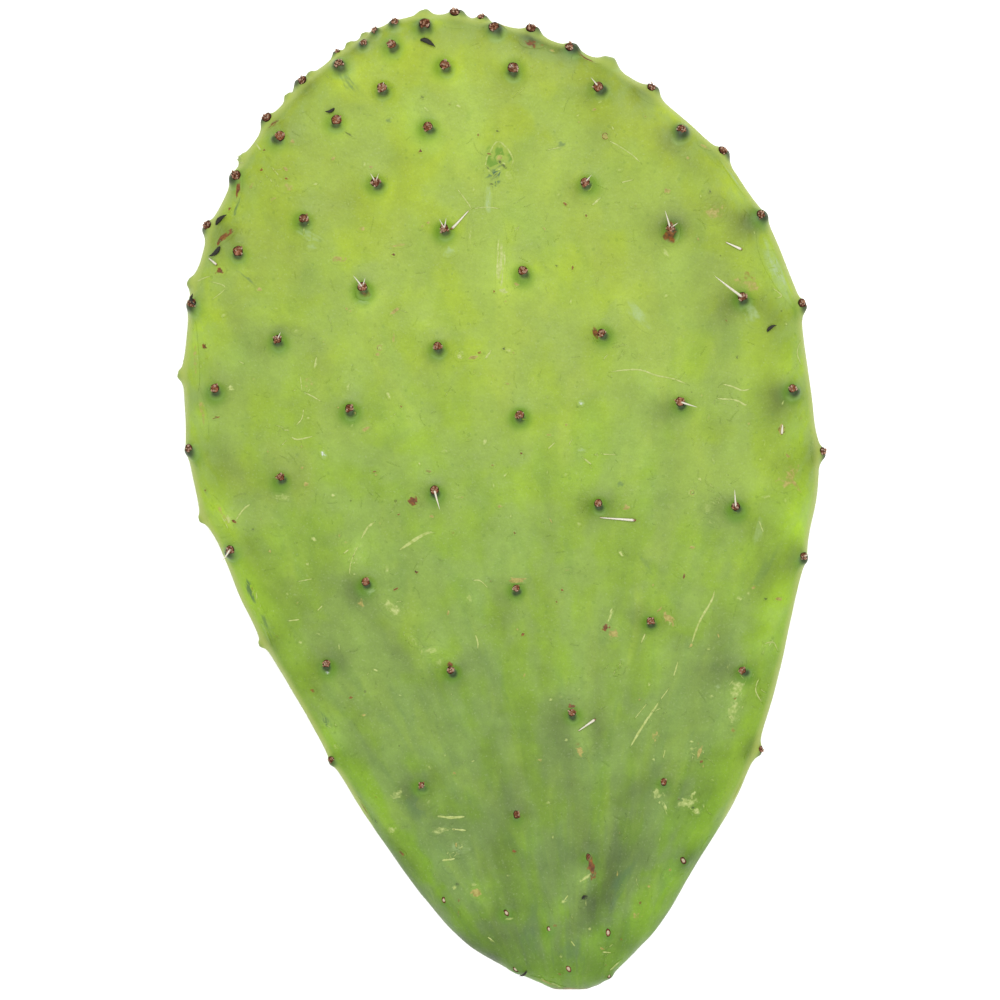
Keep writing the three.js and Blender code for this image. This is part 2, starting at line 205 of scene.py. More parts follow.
MARKS = {  # colour: (x, y, length, width, heading, strength) of each mark
    # the first colour is the dark green inside the healed scar, drawn with the mask of the painted shade
    # round the areoles
    "halo": [(-0.3, 104.6, 8.5, 6.2, 88, 0.95), (-9.5, 118, 6, 4, 80, 0.3), (-2, 113, 5, 3.4, 90, 0.25)],
    "stain": [
        (-46.5, 127.5, 8, 2.2, -50, 0.5), (-34, 116, 2, 1.8, 0, 0.5), (18.7, 108.5, 3.2, 2, 20, 0.55),
        (-1, 100, 6, 2.8, 24, 0.95), (-2.2, 97.6, 4.4, 2.8, 80, 0.95), (-3, 92.5, 9, 1.8, 88, 0.5),
        (-80.5, 90, 4.6, 1.4, 76, 0.7),
        (-77.5, 68, 6.5, 1.2, -40, 0.5), (37, 5, 2.4, 2, 45, 0.5), (44.5, -19, 7, 2.4, -62, 0.25),
        (80.5, -21, 14, 4.5, 62, 0.25), (-76.8, -27.5, 6.5, 3.2, -70, 0.8),
        (-53.5, -67.5, 5.5, 3.4, -60, 0.6), (-71.5, -38, 7, 2.4, -68, 0.5), (22, -138, 8, 6, 90, 0.35),
        (10, -130, 14, 6, 85, 0.3), (37, -117, 14, 4, 62, 0.5), (-26, -93, 9, 4, -60, 0.3),
        (68.5, 105, 5, 1.4, -60, 0.6),
    ],
    "bloom": [
        (-58, 80.5, 7.5, 2, -27, 0.6), (-57.5, 77.5, 3, 2, 0, 0.45), (-15.5, 76, 3.4, 2.6, 20, 0.6),
        (-9, 80.5, 7.5, 1.2, 90, 0.5), (0.3, 73, 14, 2, 88, 0.55), (1, 64, 3, 2.4, 0, 0.8),
        (-3.5, 92, 6, 1.8, 90, 0.75), (-42, 60.5, 4, 2, 0, 0.4), (42.5, 56.5, 8.5, 3.4, -50, 0.68),
        (25, 15.3, 2.2, 1, 0, 0.7), (87.5, 9, 9, 2.4, 70, 0.35), (79, -10, 7, 2.4, 80, 0.3),
        (66.5, -57, 1.8, 1.4, 0, 0.5), (-12.5, -106, 5.4, 3, 0, 0.35), (-39.5, -28, 2.8, 1.2, 30, 0.5),
        (-71.5, -41, 5, 1.6, -75, 0.4), (71, 99, 9, 2.4, -56, 0.75), (85, 71, 16, 6, -62, 0.75),
        (24.7, 29.5, 1.7, 1.5, 0, 1), (-54, 14, 2.6, 1.5, -60, 1), (-52.7, -52.9, 1.2, 0.9, 0, 1),
        (77, 57, 6, 4, -60, 0.6), (65.3, 88, 2.6, 2.2, 0, 0.4),
    ],
    "pale": [
        (0.3, 73, 14, 2, 88, 1), (1, 64, 2.8, 2.2, 0, 1), (-9, 80.5, 8, 1, 90, 0.45),
        (-3.3, 100.5, 2, 0.6, -50, 0.7), (0.4, 101.4, 2.4, 0.6, 20, 0.7), (2.4, 99, 3, 2.6, 0, 0.5),
        (37, 107, 4, 1.2, -30, 0.4), (-78.7, 71.2, 4.5, 1.6, -55, 0.4), (-80, 86, 1.8, 1.4, 0, 0.5),
        (36.5, 101, 1.4, 1, 0, 0.6), (17.8, 93.5, 1.5, 1, 80, 0.6), (50.6, 75.6, 2.8, 1.2, -50, 0.7),
        (-22, 53.5, 1.7, 1, 0, 0.5), (2.6, 45.8, 2.2, 1, -15, 0.8), (10, 36, 4, 2, 100, 0.4),
        (-34, 31.8, 1.8, 1, -60, 0.8), (-17, 15, 2.2, 1, 0, 0.5), (-4.7, 17.8, 1.6, 0.9, 80, 0.7),
        (81, 0.9, 3.2, 0.9, 12, 0.6), (-62, 51.5, 2.4, 1.6, 0, 0.5), (-56.3, 41.5, 2.6, 0.9, 80, 0.6),
        (-58.5, 25, 1, 0.8, 0, 0.7), (-51, 1.5, 1.2, 1, 0, 0.8), (-66.5, 1, 5.4, 1.6, -10, 0.55),
        (-83.5, -6, 2.8, 2.6, 0, 0.9), (-46.5, 34.5, 2, 0.8, 80, 0.5), (-12.5, 1, 2.2, 1.1, 0, 0.6),
        (24, -7.4, 1.5, 1, 0, 0.6), (33.8, -35.2, 5, 1.2, 68, 0.85), (-20.8, -46, 4.6, 1.8, 10, 0.6),
        (-19, -49.5, 2.4, 2, 0, 0.5), (-26.5, -43, 4.2, 1.6, -40, 0.5), (15.5, -61, 1, 0.8, 0, 0.7),
        (18.5, -60, 1.4, 1.2, 0, 0.5), (37, -16.3, 1.7, 1, -50, 0.8), (76, -28.5, 1.2, 0.9, 0, 0.7),
        (73, -30, 1.8, 1.4, 0, 0.7), (64.5, -7, 3.4, 1.2, -30, 0.4), (63.5, -2.5, 2.6, 2.2, 0, 0.5),
        (52.3, -37.3, 1.8, 1.3, 0, 0.6), (63.8, -45.5, 1.2, 0.8, 0, 0.7), (64.5, -60, 1.5, 1, 0, 0.6),
        (72.5, -58, 6, 4.4, 70, 0.7), (71.5, -63.5, 5, 3.4, 80, 0.65), (71, -67, 3.4, 2.4, 0, 0.6),
        (69.8, -50.5, 2.5, 1.2, 90, 0.5), (20.3, -73.3, 1, 0.8, 0, 0.8),
        (58.5, -73.7, 1.2, 0.9, 0, 0.8), (58.6, -76, 1.4, 1, 0, 0.7), (65, -85.5, 1.6, 0.9, 0, 0.5),
        (48.5, -90, 4.6, 2.6, -50, 0.65), (50.4, -93.8, 3.6, 0.8, -70, 0.7),
        (57.5, -92.5, 5.4, 3, 10, 0.72), (58.9, -90.4, 3.6, 1.2, 65, 0.75), (60, -95, 3.2, 2, -20, 0.65),
        (73, -88.5, 4, 1.3, 60, 0.6), (63, -105, 3.2, 2.6, 40, 0.35), (51.5, -114, 3.4, 2, 40, 0.3),
        (26.5, -115.3, 6, 1.5, 32, 0.6), (19.4, -122.6, 1.5, 1, 20, 0.9),
        (14.5, -92.5, 2.4, 0.8, 20, 0.5), (3, -128, 2.4, 0.8, 10, 0.6), (35, -142, 3.6, 1.4, 30, 0.8),
        (17, -148.2, 4, 1.6, -20, 0.7), (-50, -75.5, 3.4, 1.4, 0, 0.5),
        (-31.5, -90, 5.4, 2.8, 10, 0.6), (-33, -101, 4.4, 2, 30, 0.6),
        (-22.5, -92.5, 4, 2.6, 20, 0.35), (-21.5, -81.5, 1.6, 1, -60, 0.6),
        (-18.5, -101, 4.4, 2, 5, 0.6), (-14, -118.5, 1.3, 1.1, 0, 0.8), (-8, -117.4, 2, 1.2, 0, 0.6),
        (-20.5, -121, 3.4, 1.2, 85, 0.5), (-2.5, -135, 1.8, 0.8, -10, 0.6),
        (-67.5, -9.5, 3, 1.8, 0, 0.35), (-57, -12, 1.8, 1, -40, 0.9), (-59, -19.5, 1.1, 0.9, 0, 0.7),
        (-43, -15.5, 6, 4, 80, 0.3), (-34.5, -21, 2.4, 1, 90, 0.5), (-33, -33, 6.5, 3.4, -38, 0.65),
        (-73.5, -33.5, 2, 1.5, 0, 0.5), (-61, -43.6, 1.6, 1.2, 40, 0.5),
        (-55.5, -41, 1.8, 0.7, -20, 0.5), (-57, -54.5, 2.4, 1.2, 30, 0.4),
        (-78.5, 103.5, 2.2, 1.8, 0, 0.6), (-9.4, -30, 2.6, 1.3, 90, 0.7),
        (-36.8, 46.5, 2.6, 2.2, 0, 0.55), (-12, 44.2, 2.6, 2.4, 0, 0.7),
        (-82.3, 34.2, 1.9, 1.6, 0, 0.8), (58.8, 2.3, 1.9, 1.8, 0, 0.6),
    ],
    "tan": [
        (0, 104.5, 1.7, 1.3, 0, 0.8), (32.2, 111.2, 1.6, 1.5, 0, 0.9), (-63.5, 109.5, 1.8, 1.4, 0, 0.8),
        (16, 137.5, 1.8, 1.4, 0, 0.8), (-76, 96, 2, 1.6, 0, 0.5),
        (-65, 95.5, 4.4, 2.2, 0, 0.45), (-49, 73.5, 3.4, 2, 0, 0.6), (-73.5, 64.3, 1.6, 1.2, 0, 0.7),
        (-42, 83, 2.4, 1.5, 10, 0.5), (-31, 78, 5, 1.4, 5, 0.45), (5, 66, 1.6, 1.3, 0, 0.7),
        (-39.5, 101.7, 1, 0.8, 0, 0.8), (-22, 84.7, 1.2, 0.9, 0, 0.8), (65.5, 88.5, 6, 4.6, 45, 0.5),
        (57.5, 104.7, 1.1, 0.8, 0, 0.7), (51.2, 94.5, 1.5, 1.3, 0, 0.8), (76, 66.5, 8, 5.5, -30, 0.5),
        (-32.2, 57.8, 2.8, 0.9, 40, 0.7), (-32.5, 49.5, 3, 0.8, 90, 0.5), (-37.5, 44.5, 1.4, 1, 0, 0.7),
        (-8, 43.5, 2.8, 1.2, 15, 0.75), (4, 45, 1.2, 0.8, 0, 0.5), (-41, 21.8, 2.8, 1.2, 30, 0.85),
        (15, 20, 1.8, 0.9, 0, 0.5), (20.2, 23, 1, 0.9, 0, 0.6), (38.5, -2.3, 2, 1.6, 0, 0.75),
        (89, 7.5, 8, 5, 35, 0.5), (90, 5, 7, 1.2, -40, 0.6), (88, 13.5, 2, 1.2, -50, 0.8),
        (-93.3, 44, 13, 2.2, 98, 0.4), (-91, 26, 9, 2, 100, 0.45), (-58.5, 36, 4.5, 3.6, 0, 0.35),
        (-59.2, 4.8, 1.4, 1.2, 0, 0.8), (-60.5, 9.8, 1.2, 0.8, 40, 0.7), (-85.2, -4, 7.5, 2, -55, 0.4),
        (-0.2, -2, 1.6, 1, 0, 0.7), (-21, -5, 1.2, 1, 0, 0.7), (20.5, -21.5, 2, 1.2, 0, 0.4),
        (5, -24.6, 5.5, 1.6, 0, 0.7), (77.5, -26.7, 1.4, 1, 0, 0.7), (85.5, -30.3, 3.2, 1, -8, 0.9),
        (51.5, -36.2, 4.2, 1.8, -48, 0.95), (34.5, -40.8, 3.4, 3, 0, 0.65),
        (58.8, -14.5, 1.2, 0.9, 0, 0.8),
        (24.5, -76.8, 2.8, 2.6, 0, 0.7), (12.5, -79.5, 2, 1, 0, 0.4), (47.5, -72, 3.4, 1.8, 70, 0.5),
        (60.8, -77, 4, 1.6, 75, 0.7), (71.3, -70.5, 1.8, 1.5, 0, 0.7), (45.5, -118, 1.6, 1.1, 0, 0.6),
        (42, -127, 3.2, 2.6, 0, 0.5), (14, -147.3, 6, 1.8, -15, 0.8), (30, -148.3, 5, 1.4, 30, 0.6),
        (-14, -83.5, 1.2, 0.9, 0, 0.8), (-7.2, -120, 2.8, 2.4, 0, 0.85),
        (-42.5, -31.6, 2.8, 1.8, 90, 0.6), (62.3, 108, 3.6, 1.6, 0, 0.8), (86.2, 21.5, 3, 1.6, 90, 0.8),
    ],
    "rust": [
        (-68.7, 115, 5, 1.6, 12, 0.8), (-72, 107, 1.3, 1, 0, 0.8), (-24.3, 106.6, 1.3, 1, 0, 1),
        (0.5, 144, 2, 1.6, 0, 0.8), (9.8, 139.6, 5, 3, 10, 0.85),
        (25.8, 135, 6.4, 1.7, -24, 0.9), (-84.2, 80.5, 5.6, 2.3, 30, 1), (-85.8, 70, 2.8, 2.2, 0, 0.9),
        (-79.8, 95.2, 5.2, 2.2, 85, 0.9), (-73, 101, 1.2, 1, 0, 0.8), (-65.3, 98.3, 1.1, 0.9, 0, 0.7),
        (-82.8, 89, 1.3, 1.2, 0, 0.8), (-32.5, 75, 1.4, 1, 0, 0.9), (64.5, 90.5, 4, 2, 20, 0.3),
        (41.5, 90, 2.4, 1.2, 0, 0.3), (52, 82, 5.4, 3.8, 90, 0.8), (75.5, 68, 4.4, 3.4, 0, 0.42),
        (29.1, 50.7, 3.2, 1.4, 115, 0.85), (-41.2, 62.6, 3.6, 2.2, 0, 0.5), (-6.3, 45, 1.4, 1, 0, 0.6),
        (-21.8, 8.7, 2, 1.1, 0, 0.55), (-2.2, 10.5, 1.4, 0.9, 0, 0.5), (6.5, 14.3, 0.9, 0.8, 0, 0.9),
        (-26.5, -0.2, 3.2, 2.4, -50, 1), (-90.5, 47, 2.4, 1.4, -40, 0.9),
        (-87, 25.2, 2.4, 0.9, 10, 0.7), (-90.2, 3, 1, 0.9, 0, 0.9), (-81.6, -6.6, 1.6, 1.1, -20, 0.9),
        (-31, -4.5, 1, 0.8, 0, 0.7), (-14.4, -9.9, 1.3, 1, 0, 0.45), (4.5, -10, 1.1, 0.8, -60, 0.7),
        (19, -27.5, 0.9, 0.8, 0, 0.8), (7, -41, 1.1, 1, 0, 0.8), (-15.3, -50.3, 2, 1.8, 0, 0.9),
        (21.8, -62.9, 2, 1.6, 0, 0.8), (32.3, -39, 2.4, 2, 0, 1), (54.2, -21.5, 4, 2, -40, 0.2),
        (24, -74.6, 2.6, 1.8, 60, 0.45), (61.5, -80, 1.3, 1.1, 0, 0.7), (75.5, -78, 1.6, 1.1, 60, 0.4),
        (43, -123, 1.3, 0.9, 70, 0.7), (28, -112.3, 6, 1.8, -85, 1), (28.4, -115, 2, 1.5, 0, 0.7),
        (4.5, -107.3, 1.1, 1, 0, 0.8), (17, -130, 2.4, 0.9, 25, 0.5), (18.5, -144.8, 1.3, 0.8, 0, 0.6),
        (-38.5, -90.5, 3, 1, -30, 0.4), (-41.3, -94.4, 5, 1.5, -58, 0.9),
        (-30.2, -108, 2.8, 1.7, 0, 0.7), (-16, -112, 2.8, 1.8, -60, 0.4),
        (-12.7, -122.2, 1.8, 0.7, 90, 0.6), (-12.7, -126.7, 2.2, 0.6, 90, 0.5),
        (-25.5, -22, 1, 0.9, 0, 1), (-76, -27, 1.4, 0.9, -60, 0.6), (-57.4, -58.4, 1.8, 1.4, 0, 0.6),
        (-45.6, -60.3, 1.3, 1, 0, 0.7),
    ],
    "dark": [
        (-23.7, 123, 1.2, 0.9, 0, 0.6), (-46.2, 111.8, 3, 0.8, -27, 0.6),
        (64.3, 94.3, 0.9, 0.8, 0, 0.7), (1.2, 46.2, 1, 0.8, 0, 0.9), (72.5, 43.7, 0.8, 0.7, 0, 0.8),
        (-0.1, 103.4, 1.6, 0.9, -50, 0.8), (1.3, 101.9, 1.6, 0.9, -40, 0.8), (-2.6, 96.5, 1.4, 0.7, 0, 0.7),
        (-3.6, 101.3, 1.8, 0.5, -50, 0.6), (-1.4, 99.4, 2, 0.5, 40, 0.6), (-0.8, 112.8, 1, 0.9, 0, 0.7),
        (81.3, -30.3, 1, 0.7, 0, 0.7), (25.8, -121.6, 2.4, 1.3, 25, 0.8), (6.2, -144.6, 1.6, 1.3, 0, 1),
        (-38, -98.2, 1.2, 1, 0, 0.8), (-13, -117.4, 0.8, 0.7, 0, 0.7),
        (-36.8, 46.6, 1.1, 1, 0, 0.9), (58.9, 2.3, 0.8, 0.7, 0, 0.7), (-78.5, 103.5, 0.8, 0.7, 0, 0.6),
        (-12, 44.3, 1, 0.9, 0, 0.4), (17.3, 71.5, 0.8, 0.7, 0, 0.6), (-75.5, -9, 0.9, 0.7, 0, 0.6),
        (59, -94, 0.9, 0.7, 0, 0.8),
    ],
}
SCRATCHES = [  # width, then the points that the scratch runs through
    (0.7, (65.8, -27), (64.5, -31), (61, -37), (58.3, -44.5)), (0.4, (49, -61), (52, -57)),
    (0.75, (49, -61), (46, -65.5), (43, -70), (39.5, -76)), (0.35, (45, -62), (41, -67)),
    (0.6, (33, 39), (38, 39.7), (43, 39.7), (48, 38), (53, 37), (58, 35)),
    (0.5, (33, 110), (37, 107.8), (41, 105), (43.5, 102.5)), (0.35, (14, 107), (17, 107.5), (19, 108)),
    (0.6, (67.5, 35.5), (71, 34.7), (74, 33.5), (77, 34)),
    (0.6, (66, 31), (72, 30.5), (75, 29), (76, 30)), (0.9, (-19.5, -96.5), (-15, -97), (-10.5, -96.7)),
    (0.6, (-15, -100.5), (-10, -101)), (0.8, (-18, -110.2), (-13.5, -109.5)),
    (1, (-31, -15.5), (-25, -11.5), (-22, -10), (-19.5, -10)),
    (0.7, (-38, -6.5), (-40.5, -8.5), (-42.5, -12)), (0.4, (-43, -13), (-45.5, -19), (-46, -23)),
    (0.45, (-48, -16.5), (-46, -15)), (0.5, (44.5, -40.5), (43, -44)), (0.5, (54.5, -49), (53, -54)),
    (0.5, (-13, 95), (-10, 91), (-8.5, 88.5)), (0.35, (-8.5, 89), (-4, 89.5), (0, 89)),
    (0.5, (37, 97), (41, 98)), (0.7, (28, 90), (31, 92.5)), (0.7, (-4.5, 43), (-2.5, 46)),
    (0.45, (14.5, 15.5), (17, 17.8)), (0.6, (25.5, 12.8), (28, 10.8)), (0.35, (31, 14), (36, 13.8)),
    (0.45, (-56.7, 40.5), (-56, 44)), (0.35, (-61, 38), (-60.5, 33)),
    (0.4, (-60, 33), (-57, 31.5), (-54.5, 30)), (0.45, (-60, 28), (-60.5, 25), (-62.5, 22.5)),
    (0.5, (-64, 19.5), (-62, 18.5), (-57, 19.5)), (0.3, (-65, 18.5), (-67, 16.5)),
    (0.35, (-80, 42.5), (-78, 41.5)), (0.6, (-76, -1), (-78.5, -3), (-81, -6.5)),
    (0.45, (-65, -37), (-61, -36.5)), (0.3, (-62, -25), (-57, -24)), (0.35, (-56, -34), (-54, -32)),
    (0.4, (-8.5, -24.5), (-6, -24.7), (-3.5, -27)), (0.5, (-7.6, -41), (-6.8, -43.5), (-6.8, -45.8)),
    (0.4, (79, -54), (78, -58), (80, -62)), (0.4, (80.5, -44), (83.5, -43.5), (85, -46.5)),
    (0.4, (-4, -133.5), (-1.5, -135.2)), (0.45, (21.5, -134.5), (23, -136.5)),
    (0.45, (31, -138), (34, -138.3)), (0.6, (33, -143.5), (36, -141)),
    (0.45, (19.5, -122.5), (21, -120.5)), (0.5, (24, -117), (29, -113.5)),
    (0.6, (-75, 109.5), (-73.5, 107.5), (-73, 106.7)), (0.4, (-70, 102), (-67.5, 99)),
    (0.5, (-92, 66.5), (-90, 67.8), (-88, 68.5)), (0.35, (-89, 67), (-84, 65), (-88, 61)),
    (0.4, (92, 49), (91, 45), (92.5, 41)), (0.35, (83, 65), (86, 62.5), (84, 61.5)),
    (0.35, (50.5, -76), (49.8, -79)), (0.4, (-9, -80), (-7.5, -79.5)), (0.4, (79, -6), (80.5, -10)),
    (0.5, (-86, -3), (-83, -9)),
]
FIBRE_PATCHES = [  # x, y, length, width, heading, count of short pale strokes
    (72.5, -58, 9, 6, 70, 18), (71, -65, 7, 4, 80, 12), (-33, -33, 8, 4.5, -38, 14),
    (-44, -17, 9, 5, 80, 12), (36.5, -52, 6, 5, 60, 12), (-59.5, 35, 7, 5, 60, 10),
    (-31.5, -90, 6, 3, 10, 6), (-26, -44, 10, 3, -40, 8), (79, -57, 9, 4, -70, 8),
    (82, -44, 7, 5, 60, 8), (47, -66, 10, 6, 55, 8), (37, 47, 8, 9, 50, 10), (28, 14, 12, 6, -10, 8),
    (63, 5, 14, 6, 120, 10), (70, 31, 12, 5, -10, 8), (-66, 20, 8, 5, -20, 6), (-16, -101, 10, 4, 0, 6),
    (-12, -106, 6, 4, 0, 10), (-92, 38, 30, 3, 95, 12), (85, 70, 20, 7, -60, 14),
    (-84, -8, 14, 4, -60, 8), (-75, -30, 14, 4, -65, 8), (-53, -68, 8, 4, -60, 6),
    (33, -138, 6, 3, 60, 6), (14, -146.5, 10, 2, -12, 6), (58, -92, 8, 6, 40, 8),
    (59, -76, 7, 7, 60, 8), (3, 78, 12, 9, 70, 8), (-16, -109, 7, 6, 10, 6),
    (-72, 100, 10, 10, -60, 8), (-47, 40, 24, 16, 70, 8),
]
HEALED_SCAR = [  # points of its raised outline, open at the foot
    (-5.2, 100.4), (-4.4, 102.6), (-4, 104.7), (-3.1, 106.2), (-2.5, 107.5), (-1.6, 109), (-0.3, 109.6),
    (1.3, 108.4), (2.8, 106.6), (3.7, 104.9), (4, 103.6), (3.5, 102), (2.9, 100),
]
RINGED_MARKS = [  # x, y, radius, colour of the ring, its strength
    (32.2, 111.2, 0.9, "rust", 0.9), (-36.8, 46.5, 0.8, "tan", 0.8), (-12, 44.2, 0.9, "pale", 0.9),
    (58.8, 2.3, 0.7, "tan", 0.8), (86.2, 21.5, 1.0, "rust", 0.9), (-78.5, 103.5, 0.7, "pale", 0.8),
]
